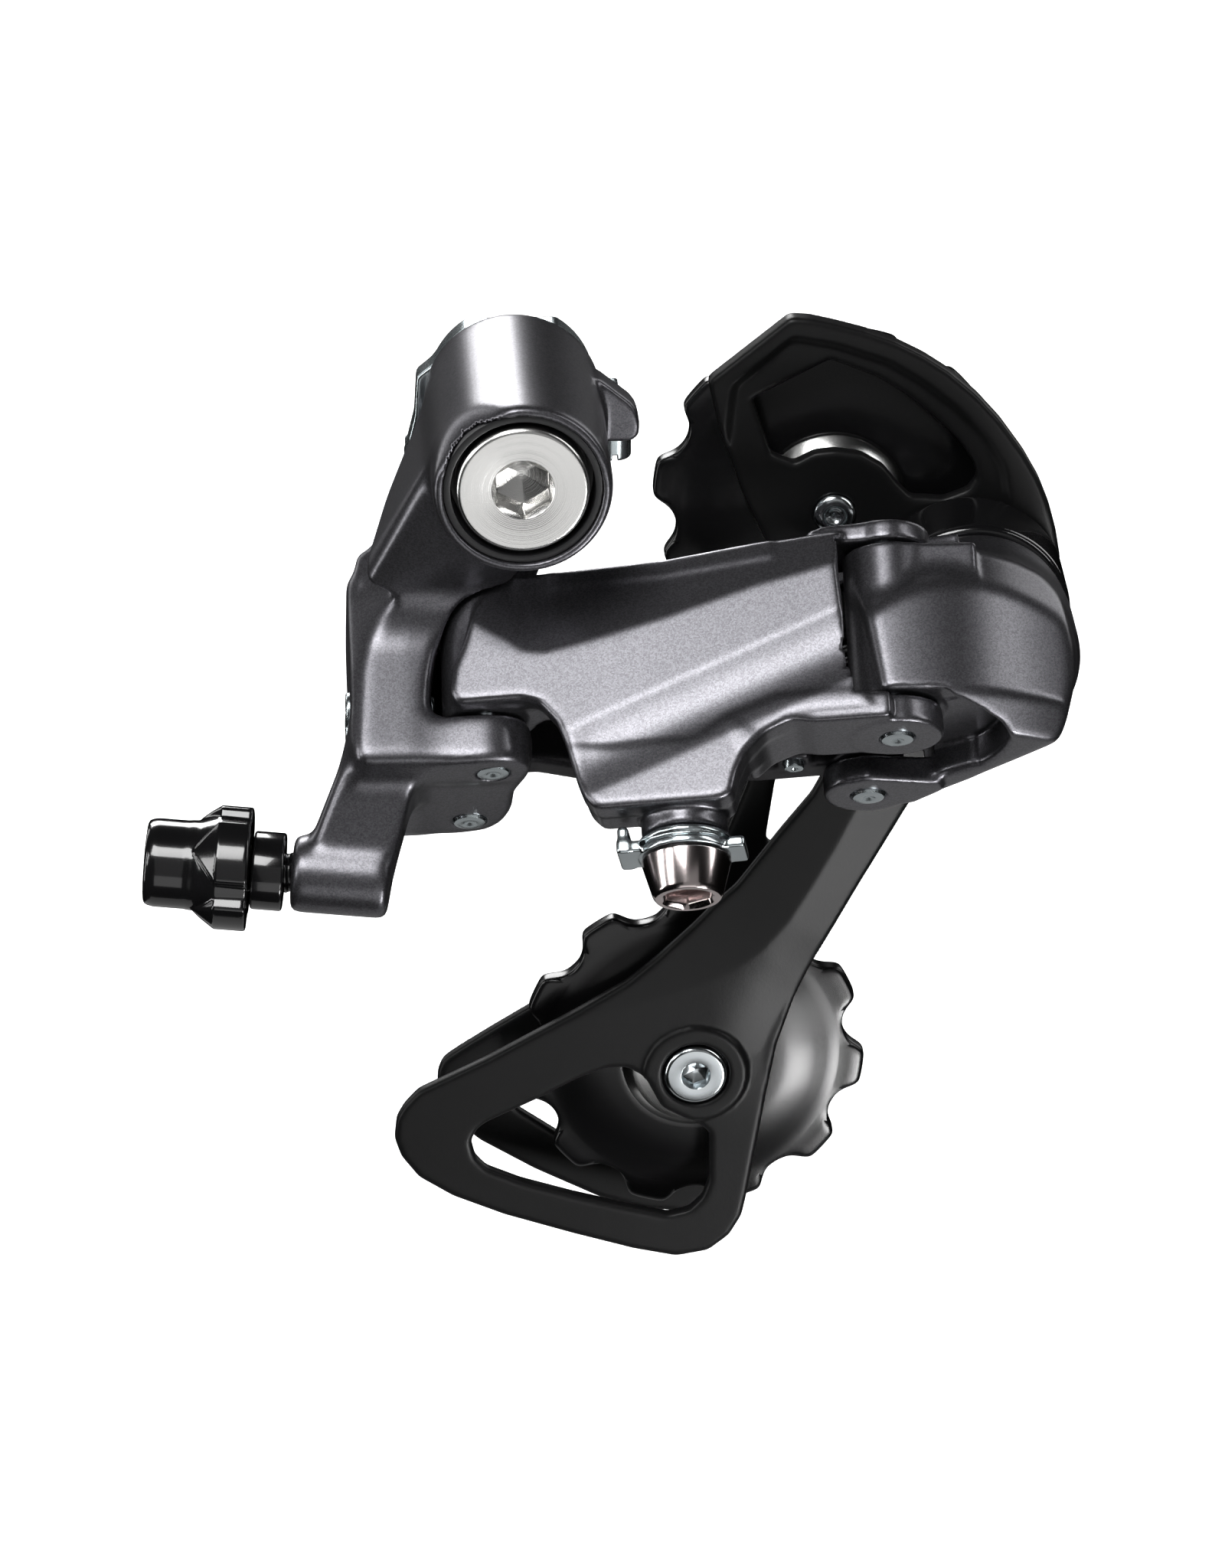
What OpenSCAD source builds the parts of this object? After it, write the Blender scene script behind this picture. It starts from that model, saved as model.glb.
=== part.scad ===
// Rear bicycle derailleur, medium cage, slant parallelogram, direct cable entry.
// Millimetres. +X bike forward, +Y towards the wheel, +Z up.
// Origin: mounting bolt axis at the hanger seating face.

/* [Parallelogram] */
// slant of the four link pins from vertical
slant_deg = 48; // [40:1:55]
// distance between the two pins of a link
link_len = 46.9; // [44:0.1:50]
// lean of the links at the high gear stop
link_lean = 8.7; // [6:0.1:12]
// radius of the link pins
pin_r = 2.0; // [1.6:0.1:2.4]
// radial running clearance of the pins
run_fit = 0.05; // [0.02:0.01:0.1]
// radial clearance at the open pivot
open_fit = 0.3; // [0.2:0.05:0.4]

/* [Bracket] */
// length of the mounting barrel
barrel_len = 32; // [30:0.5:34]
// outer radius of the barrel at its front rim
barrel_r = 10.3; // [9.8:0.05:10.4]
// outer radius of the barrel at its back
barrel_back_r = 10.4; // [10.2:0.1:10.6]
// radius of the mounting bolt shank and thread
bolt_r = 5.0; // [4.9:0.05:5.1]
// length of the thread past the hanger face
thread_len = 9; // [7:0.5:11]
// radius of the mounting bolt head
bolt_head_r = 7.65; // [7.4:0.05:7.9]
// across flats of the mounting bolt socket
bolt_af = 6; // [5:0.5:6]

/* [Cage] */
// distance between the pulley centres
cage_cd = 76.3; // [74:0.1:78]
// thickness of the outer cage plate
plate_t = 2.0; // [1.6:0.1:2.4]
// clear gap between the cage plates
cage_gap = 9.0; // [8.6:0.1:9.4]
// teeth on each pulley
teeth = 11; // [11:1:11]
// tooth tip radius of a pulley
tip_r = 21.2; // [20.8:0.1:21.4]
// root radius of a pulley
root_r = 18.72; // [18.4:0.02:19]
// thickness of a pulley tooth
tooth_t = 2.4; // [2:0.1:2.6]
// radius of the pulley dust caps
cap_r = 8.75; // [8.4:0.05:9]

/* [Cable parts] */
// radius of the cable housing socket
socket_r = 2.6; // [2.5:0.05:2.7]
// radius of the adjuster boss
boss_r = 4.5; // [4.2:0.1:4.8]

/* [Hidden] */
$fn = 64;
e = 0.01;
bo = [-3.6, 6.7];                         // bracket end of the outer link (x, m)
bi = [-6.0, 21.7];                        // bracket end of the inner link
po = [bo[0]+link_len*cos(link_lean), bo[1]-link_len*sin(link_lean)];
pi_ = [bi[0]+link_len*cos(link_lean), bi[1]-link_len*sin(link_lean)];
px = 54.2; pz = -28.8;                    // cage pivot axis
gx = 38.42; gz = -19.5;                   // guide pulley
tx = 22.27; tz = gz - sqrt(cage_cd*cage_cd - (gx-tx)*(gx-tx)); // tension pulley
y0 = 3.6; y1 = y0+plate_t; y2 = y1+cage_gap; y3 = y2+1.8; ym = (y1+y2)/2;

// x, m, n frame: n runs along the link pins
module slant() rotate([-slant_deg,0,0]) children();
module outerf() slant() translate([bo[0],bo[1],0]) rotate([0,0,-link_lean]) children();
module innerf() slant() translate([bi[0],bi[1],0]) rotate([0,0,-link_lean]) children();
// extrude an x, z outline between two values of y
module yext(a,b) translate([0,b,0]) rotate([90,0,0]) linear_extrude(b-a) children();
module ycyl(r,a,b,x=0,z=0) translate([x,a,z]) rotate([-90,0,0]) cylinder(r=r,h=b-a);
module yturn(x=0,z=0) translate([x,0,z]) rotate([-90,0,0]) rotate_extrude() children();
// extrude a u, w outline between two values of v
module vext(a,b) translate([0,b,0]) rotate([90,0,0]) linear_extrude(b-a) children();
module ncyl(p,r,a,b) translate([p[0],p[1],a]) cylinder(r=r,h=b-a);
module adj() translate([-27,-31,-48]) rotate([0,86.01,174.86]) children();
module clampf() outerf() translate([22,-1,0]) children();
function arc(c,r,a,b,k=12) = [for(i=[0:k]) [c[0]+r*cos(a+(b-a)*i/k), c[1]+r*sin(a+(b-a)*i/k)]];
module sector(c,r,a,b,k=16) polygon(concat([c],arc(c,r,a,b,k)));
module coil(R,w,pitch,turns) {
  s = 360*w/pitch;
  linear_extrude(height=pitch*turns, twist=-360*turns, slices=18*turns, $fn=12)
    polygon(concat(arc([0,0],R+w/2,0,s,7), arc([0,0],R-w/2,s,0,7)));
}
module hexs(af,h) cylinder(r=af/2/cos(30),h=h,$fn=6);

module mounting_bolt() color([0.78,0.78,0.78]) difference() {
  yturn() polygon([[0,-31.4],[7.2,-31.8],[bolt_head_r,-31.4],[bolt_head_r,-27.4],[bolt_r,-27.4],[bolt_r,-0.9],[bolt_r-0.6,-0.9],[bolt_r-0.6,0.1],[bolt_r-0.03,0.1],[bolt_r-0.03,thread_len-0.8],[bolt_r-0.8,thread_len],[0,thread_len]]);
  translate([0,-27.2,0]) rotate([90,0,0]) linear_extrude(6) circle(r=bolt_af/2/cos(30),$fn=6);
  yturn() polygon([[0,-31.9],[3.9,-31.9],[3.9,-31.3],[3.3,-30.7],[0,-30.7]]);
}
module stopper_plate() color([0.72,0.75,0.76]) {
  difference() {
    union() {
      intersection() { ycyl(9.7,-3.0,0); yext(-3.1,1) polygon([[-12,-12],[12,-12],[12,5],[6,8.2],[-6,8.2],[-12,5]]); }
      yext(-3.0,0) polygon([[-6,-9.5],[-9,-12.4],[-12.4,-12.4],[-12.6,-8],[-11.4,-3],[-11.1,2.0],[-8,4.6]]);
      translate([-12.4,-2.5,-12.4]) cube([2.8,6.5,4.4]);
      yext(-3.0,-0.5) polygon([[6,-4.2],[12.2,-2.6],[12.3,0.4],[6,0.4]]);
    }
    ycyl(bolt_r+0.02,-4,1);
  }
  difference() {
    intersection() { ycyl(12.4,-7.9,-0.6); translate([8,-9,-0.9]) cube([6,12,1.3]); }
    ycyl(11.0,-9,0.5);
  }
}
module bracket_body() color([0.30,0.30,0.32]) difference() {
  union() {
    yturn() polygon([[0,-barrel_len],[barrel_r-0.4,-barrel_len],[barrel_r,-barrel_len+0.5],[barrel_back_r,-4.2],[barrel_back_r-0.5,-3.4],[0,-3.4]]);
    // shoulder between barrel and arm
    hull() {
      ycyl(9.5,-25,-6.2,-0.35,0.05);
      slant() translate([-19.7,2.9,-27.3]) cube([8.1,16.6,2.6]);
    }
    // neck down to the upper ear
    hull() {
      ycyl(8.3,-17,-6.5);
      slant() translate([-13.6,4.3,-22.4]) cube([15,8.4,2.1]);
    }
    slant() {
      // arm with its lower ear
      translate([0,25.1,0]) rotate([90,0,0]) linear_extrude(22.6) polygon([[-19.9,-24.1],[-20.2,-44.5],[-19,-46.6],[-11.3,-46.6],[-11.5,-24.1]]);
      translate([0,9.4,0]) rotate([90,0,0]) linear_extrude(6.7) polygon([[-17.2,-24.3],[-12.2,-41.4],[-10.6,-41.3],[-10.2,-35],[-9.4,-32],[-7.9,-29],[-6.6,-27],[-5,-25.8],[-4.8,-22.9],[-17.4,-22.9]]);
      translate([0,0,-46.55]) linear_extrude(5.6) polygon([[-18.6,5.0],[-12.6,4.8],[-9.9,4.2],[-7.2,3.0],[-4,2.2],[-1.8,2.7],[0.3,4.4],[1.0,7],[0.4,10],[-0.8,14],[-1,19.5],[-1.9,23],[-3.6,25.4],[-7.2,26.4],[-18.4,26.5]]);
      // upper ear
      translate([0,0,-23.6]) linear_extrude(4.5) polygon([[-18.8,3.9],[0.5,4.1],[1.6,7],[0.6,10.6],[-1.2,14],[-1.2,22],[-3,25.4],[-6,26.4],[-18.2,26.5]]);
    }
    // cable arm and adjuster boss
    hull() {
      adj() translate([0,0,-11.0]) cylinder(r=3.1,h=9.3);
      slant() translate([-19.8,5.2,-44.3]) cube([8.2,7.6,2.6]);
    }
    adj() translate([0,0,-11.3]) cylinder(r=boss_r,h=11.3);
    // lug for the b-tension screw
    yext(-12,-8.2) polygon([[6,-2.9],[13.4,-2.9],[14.3,-2.2],[14.4,-0.6],[14,1.0],[13.3,2.0],[9.7,5.0],[6,5.0]]);
    yext(-8.3,-4.5) polygon([[6.1,-3.3],[13.2,-3.3],[14.2,-2.4],[14.2,-1.4],[6.1,-1.4]]);
  }
  // front counterbore, bush seat, spring room
  ycyl(9.15,-40,-26.6);
  ycyl(6.5,-27,-20);
  ycyl(8.2,-22,-2);
  slant() {
    ncyl(bo,pin_r,-60,-10);
    ncyl(bi,pin_r,-60,-10);
    // room for the link knuckles
    ncyl(bo,6.4,-40.9,-23.6);
    ncyl(bi,4.9,-40.93,-23.57);
    for (mm=[10,16]) translate([0,mm,-37]) rotate([0,90,0]) translate([0,0,-30]) cylinder(r=1.55,h=30);
    for (mm=[10,16]) translate([0,mm,-37]) rotate([0,90,0]) translate([0,0,-30]) cylinder(r=2.4,h=11.9);
  }
  adj() translate([0,0,-13]) cylinder(r=1.4,h=16);
  adj() translate([0,0,-9.5]) cylinder(r=2.5,h=12);
  translate([11.7,-6.3,-6]) cylinder(r=1.55,h=5);
}
module bracket_bush() color([0.05,0.05,0.05]) yturn()
  polygon([[bolt_r+run_fit,-27.2],[8.25,-27.2],[8.25,-31.4],[9.1,-31.4],[9.1,-26.65],[6.45,-26.65],[6.45,-22.4],[bolt_r+run_fit,-22.4]]);
module b_axle_spring() color([0.55,0.56,0.58]) translate([0,-21.4,0]) rotate([-90,0,0]) coil(6.7,1.7,3.2,4.6);
module bracket_pins() color([0.70,0.74,0.74]) slant() { ncyl(bo,pin_r,-46.9,-19.0); ncyl(bi,pin_r,-46.9,-19.0); }
module b_tension_screw() color([0.70,0.74,0.74]) translate([11.7,-6.3,0]) difference() {
  union() { translate([0,0,-6.9]) cylinder(r=1.5,h=5); translate([0,0,-2]) cylinder(r=1.0,h=0.95); translate([0,0,-6.9]) cylinder(r=2.0,h=3.3); }
  translate([-0.3,-3,-7.5]) cube([0.6,6,1.5]);
}
module limit_screw(mm) slant() translate([-20.3,mm,-37]) rotate([0,90,0]) difference() {
  union() { cylinder(r=2.1,h=1.9); cylinder(r=1.5,h=10.3); }
  for(a=[0,90]) rotate([0,0,a]) translate([-1.4,-0.3,-1]) cube([2.8,0.6,2]);
}
module limit_screw_high() color([0.70,0.74,0.74]) limit_screw(10);
module limit_screw_low() color([0.70,0.74,0.74]) limit_screw(16);
module adjuster_sleeve() color([0.06,0.06,0.06]) adj() difference() {
  translate([0,0,0.9]) cylinder(r=4.55,h=3.7);
  cylinder(r=2.8,h=10);
}
module adjuster_knob() color([0.06,0.06,0.06]) adj() difference() {
  union() {
    translate([0,0,-8.5]) cylinder(r=2.45,h=14);
    translate([0,0,4.9]) intersection() {
      cylinder(r=7.2,h=3.9);
      union() { cylinder(r=6.1,h=4); for(a=[44,134]) rotate([0,0,a]) translate([-8,-3.8,0]) cube([16,7.6,4]); }
    }
    translate([0,0,8.7]) cylinder(r1=6.2,r2=5.2,h=2.4);
    translate([0,0,11]) cylinder(r=5.15,h=5.6);
    translate([0,0,16.5]) cylinder(r1=5.15,r2=4.7,h=0.5);
  }
  translate([0,0,8.9]) cylinder(r=socket_r,h=10);
  translate([0,0,-9]) cylinder(r=1.2,h=20);
}
module link_wall() polygon([[10.2,-23.9],[21.3,-23.8],[32.2,-22.8],[39.6,-22.3],[42.4,-22.2],[41.6,-26.8],[42.0,-32.4],[43.0,-38.0],[43.6,-42.6],[44.6,-44.9],[38,-44.9],[35.2,-45.3],[32.2,-47],[29.9,-49.1],[28.7,-51.6],[28.0,-54.3],[26.5,-54.8],[12.5,-54.8],[11.2,-53.2],[10.5,-51.1],[9.1,-46],[8.3,-43.6],[6.4,-41.2],[4.3,-40.5],[-3.0,-40.5],[-3.9,-39.1],[-3.4,-35.9],[-2.2,-33.1],[-0.7,-28.4],[1,-26],[4,-24.2]]);
module outer_link() color([0.33,0.33,0.35]) difference() {
  union() {
    outerf() {
      vext(-7.2,-3.7) link_wall();
      translate([0,0,-40.5]) cylinder(r=5.6,h=16.5);
      translate([0.3,-4.9,-40.4]) cube([7.8,6,16.2]);
      // lower flange with the clamp boss
      vext(-7.1,0.8) polygon([[9.8,-47],[10.6,-51.1],[11.3,-53.2],[12.6,-54.7],[26.5,-54.7],[27.9,-54.2],[28.6,-51.6],[29.8,-49.1],[31,-47.6],[28,-45.2],[24,-47.5],[14,-47.5]]);
      vext(-7.1,4.2) polygon([[28,-45.1],[29.8,-49.0],[32.2,-46.9],[35.2,-45.8],[38,-46.3],[46.9,-46.35],[46.9,-43.05],[34,-43]]);
      translate([link_len,0,-46.4]) cylinder(r=5.4,h=3.4);
      translate([22,-1,-57.0]) cylinder(r=5.0,h=6.4);
      // top flange with the upper ear
      vext(-7.1,2.5) polygon([[8,-24.1],[21.3,-24.0],[34,-22.9],[34,-25],[21.3,-26],[8,-26]]);
      vext(-5.2,4.8) polygon([[32,-23.4],[34.5,-21.4],[37,-20.95],[46.9,-20.95],[46.9,-23.35],[35,-23.4],[33.9,-24.4],[32,-24.4]]);
      translate([link_len,0,-23.4]) cylinder(r=5.2,h=2.5);
    }
  }
  outerf() {
    // sloped upper facet
    translate([7.3,-7.2,-35]) rotate([0,-13.5,0]) rotate([-11,0,0]) translate([-25,-12,0]) cube([80,12,30]);
    translate([0,0,-60]) cylinder(r=pin_r+run_fit,h=60);
    translate([link_len,0,-60]) cylinder(r=pin_r,h=60);
    translate([22,-1,-60]) cylinder(r=2.5,h=14);
    // room for the plate body knuckle
    translate([link_len,0,-43]) cylinder(r=7.8,h=19.6);
  }
}
module outer_link_pin() color([0.70,0.74,0.74]) slant() ncyl(po,pin_r,-46.8,-20.5);
module clamp_plate() color([0.74,0.76,0.77]) clampf() difference() {
  union() {
    translate([0,0,-59.5]) cylinder(r=5.4,h=2.2);
    translate([-7.6,-2.8,-59.2]) cube([7.6,5.6,1.4]);
    translate([-7.6,-2.8,-59.2]) cube([1.3,5.6,3.2]);
    translate([0,-2.6,-59.5]) cube([7.0,5.2,1.4]);
  }
  translate([0,0,-62]) cylinder(r=2.85,h=10);
  translate([-20,3.6,-57.3]) rotate([0,90,0]) cylinder(r=0.8,h=40);
}
module clamp_bolt() color([0.72,0.66,0.66]) clampf() difference() {
  union() {
    translate([0,0,-64.2]) cylinder(r1=4.05,r2=5.25,h=4.3);
    translate([0,0,-64.6]) cylinder(r1=3.7,r2=4.05,h=0.4);
    translate([0,0,-59.9]) cylinder(r=2.45,h=12);
  }
  translate([0,0,-64.7]) hexs(5,3.6);
}
module plate_body() color([0.33,0.33,0.35]) difference() {
  union() {
    ycyl(11.1,-20,-6.5,px,pz);
    ycyl(9.2,-7,2.7,px,pz);
    hull() {
      ycyl(10.9,-19,-9,px,pz);
      slant() translate([0,2,0]) rotate([90,0,0]) linear_extrude(9.2) polygon([[40.6,-27.2],[42.4,-25.8],[46.6,-25.4],[51.5,-26.8],[56.4,-28.8],[60,-31.4],[62,-34.4],[62.4,-40],[61,-42.8],[41.5,-42.8]]);
      slant() translate([46,4,-44]) cube([11,10,10]);
    }
    hull() {
      ycyl(10.4,-18.5,-9.5,px,pz);
      slant() translate([0,0,-46.6]) linear_extrude(3) polygon([[47,0],[55,-4.5],[61.6,-3],[59.9,2.4],[56.5,7.4],[52,12.4],[47.4,17.2]]);
    }
    slant() {
      ncyl(po,5.2,-42.6,-23.8);
      translate([po[0],-5,-42.6]) cube([10,14,18.8]);
      // ears for the inner link
      translate([0,0,-47.4]) linear_extrude(3.3) polygon(concat([[50,6],[52,8],[50,13],[46,17.4]],arc(pi_,5.2,40,230,14),[[41,8.5],[46,5]]));
      translate([0,0,-22.4]) linear_extrude(3.9) polygon(concat([[52,4],[50,14]],arc(pi_,5.2,45,230,14),[[42,8]]));
      translate([0,0,-46.5]) linear_extrude(28.1) polygon([[46.5,9],[52,6],[54,8],[52,12],[46.4,17.6]]);
    }
    // stop lug for the cage
    translate([px,0,pz]) rotate([0,114,0]) translate([9,-7,-1.4]) cube([5.6,9.8,2.8]);
  }
  // seat of the spring cover
  difference() { ycyl(13,-6.4,8,px,pz); ycyl(9.2,-8,2.7,px,pz); }
  // spring room and axle bore
  ycyl(8.0,-15,5,px,pz);
  ycyl(4.0+run_fit,-20.5,0,px,pz);
  slant() {
    ncyl(po,pin_r+run_fit,-60,-10);
    ncyl(pi_,pin_r,-60,-10);
    // sweep of the outer link and its ears
    translate([0,0,-52]) linear_extrude(40) difference() { union() { sector(po,70,150,301); sector(po,12,150,312); } translate(po) circle(r=7.4); }
    translate([0,0,-50]) linear_extrude(7.35) union() { translate(po) circle(r=5.8); sector(po,60,150,300); sector(po,7.9,150,336); }
    translate([0,0,-23.7]) linear_extrude(20) union() { translate(po) circle(r=5.6); sector(po,60,165,300); }
    // sweep of the inner link
    ncyl(pi_,4.9,-44.1,-22.4);
    ncyl(pi_,8.4,-44.1,-37.3);
    translate([0,0,-44.1]) linear_extrude(21.7) sector(pi_,40,165,243);
  }
}
module spring_cover() color([0.05,0.05,0.05]) difference() {
  yturn(px,pz) polygon([[9.25,-6.3],[11.2,-6.3],[11.6,-5.6],[11.6,2.6],[11.0,3.2],[9.25,3.2]]);
  slant() ncyl(pi_,5.0,-50,-10);
}
module plate_body_pin() color([0.70,0.74,0.74]) slant() ncyl(pi_,pin_r,-47.8,-18.2);
module p_axle_spring() color([0.55,0.56,0.58]) translate([px,-14.6,pz]) rotate([-90,0,0]) coil(6.2,1.6,3.0,4.4);
module inner_link() color([0.24,0.24,0.26]) innerf() difference() {
  union() {
    vext(-2.2,2.2) polygon([[0,-40.4],[8,-40.4],[14,-42],[34,-43.8],[link_len,-43.8],[link_len,-22.8],[34,-22.8],[10,-24.1],[0,-24.1]]);
    translate([0,0,-40.4]) cylinder(r=4.4,h=16.3);
    translate([link_len,0,-43.8]) cylinder(r=4.4,h=21);
    translate([36.6,-4.8,-43.8]) cube([4,4,5.6]);
  }
  translate([0,0,-60]) cylinder(r=pin_r+run_fit,h=60);
  translate([link_len,0,-60]) cylinder(r=pin_r+open_fit,h=60);
  translate([link_len,0,-36.4]) cylinder(r=4.9,h=8);
  translate([38.6,-3.0,-47]) cylinder(r=1.2,h=8);
}
module anchor_pin() color([0.70,0.74,0.74]) innerf() translate([38.6,-3.0,-44.6]) cylinder(r=1.2,h=5.4);
module return_spring() color([0.55,0.56,0.58]) innerf() translate([link_len,0,-35.9]) coil(3.3,0.9,1.75,4);
module outer_outline() polygon([[32.9,5.9],[35.2,5.7],[38,5.0],[41.7,3.9],[45.5,2.4],[48.8,0.6],[51.8,-1.5],[55.1,-4.5],[58,-7.9],[60.8,-12],[62.7,-15.5],[64,-18.9],[64.9,-22.3],[65.5,-25.8],[65.6,-29.5],[65.1,-33.2],[63.6,-37.3],[61,-41.2],[56.6,-46],[52.2,-52],[48.5,-58],[42.3,-69.2],[37.2,-78.9],[34.4,-84.9],[32.3,-91],[31.1,-97.1],[30.3,-101.8],[28.7,-111.4],[28.1,-114.3],[26.6,-117],[24,-119.1],[20,-119.8],[14.7,-118.6],[7.1,-116.2],[-1.3,-113.3],[-7.6,-110.5],[-11.8,-107.7],[-13.9,-104.8],[-14.7,-102.3],[-14.4,-99.5],[-13.4,-97.7],[-11.7,-95.8],[-8.9,-94.4],[-3.3,-91.6],[3,-88],[8.1,-85.1],[13.9,-81.5],[17.6,-78.3],[21.8,-74.2],[24.3,-71.5],[27.1,-68.8],[32.4,-61.5],[36.1,-56.7],[39.5,-50],[40.5,-44],[38.5,-38],[34.5,-31],[31,-24.5],[27.6,-17],[24.6,-8],[23.3,-2]]);
module outer_cage_plate() color([0.09,0.09,0.09]) difference() {
  union() {
    yext(y0,y1) outer_outline();
    // raised rim of the hood
    intersection() {
      yext(y0-0.6,y0+0.5) difference() { outer_outline(); polygon([[24,-30],[27,-3],[33.4,2.6],[38.2,1.6],[44.2,-0.6],[48.2,-3.2],[52.2,-6.6],[55.6,-10.4],[57.6,-14],[58.2,-30]]); }
      translate([20,-2,-17]) cube([60,10,30]);
    }
    ycyl(6.4,y0-0.5,y1,tx,tz);
  }
  // hood window
  yext(y0-3,y1+3) polygon([[28.6,-4.6],[30.9,-11.7],[33.6,-12.9],[36,-11.6],[38.5,-11.4],[41.5,-11.9],[44.2,-13.6],[45.9,-15.9],[47.5,-17.6],[51.5,-17.9],[54.3,-16.8],[55.3,-15.3],[54.9,-13.4],[53.2,-10.7],[50.3,-7.6],[46.8,-4.5],[43.3,-2.2],[37.7,0.2]]);
  // chain guard window
  yext(y0-3,y1+3) polygon([[-5.3,-102.9],[-4.6,-101.3],[-3.4,-100.3],[3,-97.2],[8,-94.5],[11.4,-93.2],[13.9,-93.2],[16.2,-94.7],[18.1,-98.6],[22.5,-101.1],[24,-102.5],[24,-109.3],[23.2,-111.6],[21.6,-113.3],[19,-113.9],[13.9,-112.6],[7.2,-110.7],[0.8,-108.6],[-3.4,-106.7],[-4.8,-105.1]]);
  ycyl(2.5,y0-3,y1+3,gx,gz);
  ycyl(2.5,y0-3,y1+3,tx,tz);
  ycyl(4.15,y0-3,y0+0.8,tx,tz);
  ycyl(3.2,y0-3,y1+3,px,pz);
  ycyl(1.5,y0-3,y1+3,px+13.8*cos(-100),pz+13.8*sin(-100));
}
module inner_cage_plate() color([0.09,0.09,0.09]) difference() {
  yext(y2,y3) polygon([[31,-13.5],[33.5,-11],[38.4,-9.8],[43.4,-11.2],[47,-15],[48.2,-20],[47.4,-27],[46.6,-36],[45.8,-48],[43.6,-60],[39.4,-72],[35,-83],[32,-94],[30,-106],[28,-113],[25.6,-117.4],[21.5,-119.6],[16.5,-119],[11,-117.2],[3,-113],[-4,-108.6],[-7.6,-105],[-9,-101.6],[-9,-99],[-8.3,-97.2],[-6.2,-95.7],[-2.4,-93.2],[2.7,-90],[9,-86],[16,-80.4],[21.6,-74.6],[26,-68],[29,-60],[30.6,-50],[31,-40],[30.4,-30],[29.6,-20]]);
  yext(y2-1,y3+1) polygon([[0.4,-104],[1,-101.6],[4,-98.4],[8.4,-95.6],[12,-94.8],[13.6,-97.6],[17,-101.4],[21,-103.4],[21.8,-107],[20.6,-112.2],[16.5,-113.2],[9,-110.2]]);
  yext(y2-1,y3+1) polygon([[36,-34],[40.5,-33.4],[42,-37],[40.8,-50],[38.2,-60],[34.6,-69],[31.4,-68.4],[32.6,-60],[35,-50],[35.2,-40]]);
  ycyl(2.5,y2-3,y3+3,gx,gz);
  ycyl(2.5,y2-3,y3+3,tx,tz);
}
module p_axle() color([0.70,0.74,0.74]) yturn(px,pz)
  polygon([[0,-20.2],[3.6,-20.2],[4,-19.8],[4,0.9],[7.5,0.9],[7.5,y0],[3.2,y0],[3.2,y1+0.4],[2.8,y1+0.7],[0,y1+0.7]]);
module cage_stop_pin() color([0.70,0.74,0.74]) ycyl(1.5,-1.2,y1+0.3,px+13.8*cos(-100),pz+13.8*sin(-100));
module guide_bolt() color([0.70,0.76,0.77]) difference() {
  yturn(gx,gz) polygon([[0,y0-0.7],[1.8,y0-0.6],[2.5,y0-0.1],[2.5,y3],[4.2,y3],[4.2,y3+1.5],[3.8,y3+1.9],[0,y3+1.9]]);
  translate([gx,y3+3,gz]) rotate([90,0,0]) hexs(3,2.4);
}
module tension_bolt() color([0.70,0.76,0.77]) difference() {
  yturn(tx,tz) polygon([[0,y0-0.75],[3.5,y0-0.75],[3.85,y0-0.45],[3.85,y0+0.8],[2.5,y0+0.8],[2.5,y3+0.6],[2.1,y3+1.1],[0,y3+1.1]]);
  translate([tx,y0+0.5,tz]) rotate([90,0,0]) hexs(3,2.4);
}
module bush(x,z) yturn(x,z) polygon([[2.52,y1+0.5],[3.9,y1+0.5],[3.9,y2-0.5],[2.52,y2-0.5]]);
module pulley_bushes() color([0.80,0.80,0.78]) { bush(gx,gz); bush(tx,tz); }
module cap_pair(x,z) {
  yturn(x,z) polygon([[2.52,y1],[7.0,y1],[7.6,y1+0.15],[cap_r,y1+1.25],[cap_r,y1+1.6],[7.4,y1+0.5],[2.52,y1+0.5]]);
  yturn(x,z) polygon([[2.52,y2],[7.0,y2],[7.6,y2-0.15],[cap_r,y2-1.25],[cap_r,y2-1.6],[7.4,y2-0.5],[2.52,y2-0.5]]);
}
module dust_caps() color([0.82,0.82,0.82]) { cap_pair(gx,gz); cap_pair(tx,tz); }
module pulley(x,z,turn) translate([x,ym,z]) rotate([-90,0,0]) rotate([0,0,turn]) difference() {
  union() {
    difference() {
      translate([0,0,-tooth_t/2]) cylinder(r=tip_r,h=tooth_t);
      for(i=[0:teeth-1]) rotate([0,0,i*360/teeth]) translate([22.55,0,-3]) cylinder(r=3.86,h=6,$fn=40);
    }
    rotate_extrude() polygon([[3.95,-2.5],[6.5,-2.5],[9.2,-2.9],[9.7,-2.9],[14,-2.2],[root_r-0.6,-1.2],[root_r-0.6,1.2],[14,2.2],[9.7,2.9],[9.2,2.9],[6.5,2.5],[3.95,2.5]]);
  }
  translate([0,0,-5]) cylinder(r=3.95,h=10);
}
module guide_pulley() color([0.07,0.07,0.07]) pulley(gx,gz,7.0);
module tension_pulley() color([0.07,0.07,0.07]) pulley(tx,tz,-9.1);

mounting_bolt();
stopper_plate();
bracket_body();
bracket_bush();
b_axle_spring();
bracket_pins();
b_tension_screw();
limit_screw_high();
limit_screw_low();
adjuster_sleeve();
adjuster_knob();
outer_link();
outer_link_pin();
clamp_plate();
clamp_bolt();
plate_body();
spring_cover();
plate_body_pin();
p_axle_spring();
inner_link();
anchor_pin();
return_spring();
outer_cage_plate();
p_axle();
inner_cage_plate();
cage_stop_pin();
guide_bolt();
tension_bolt();
pulley_bushes();
dust_caps();
guide_pulley();
tension_pulley();
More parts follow.
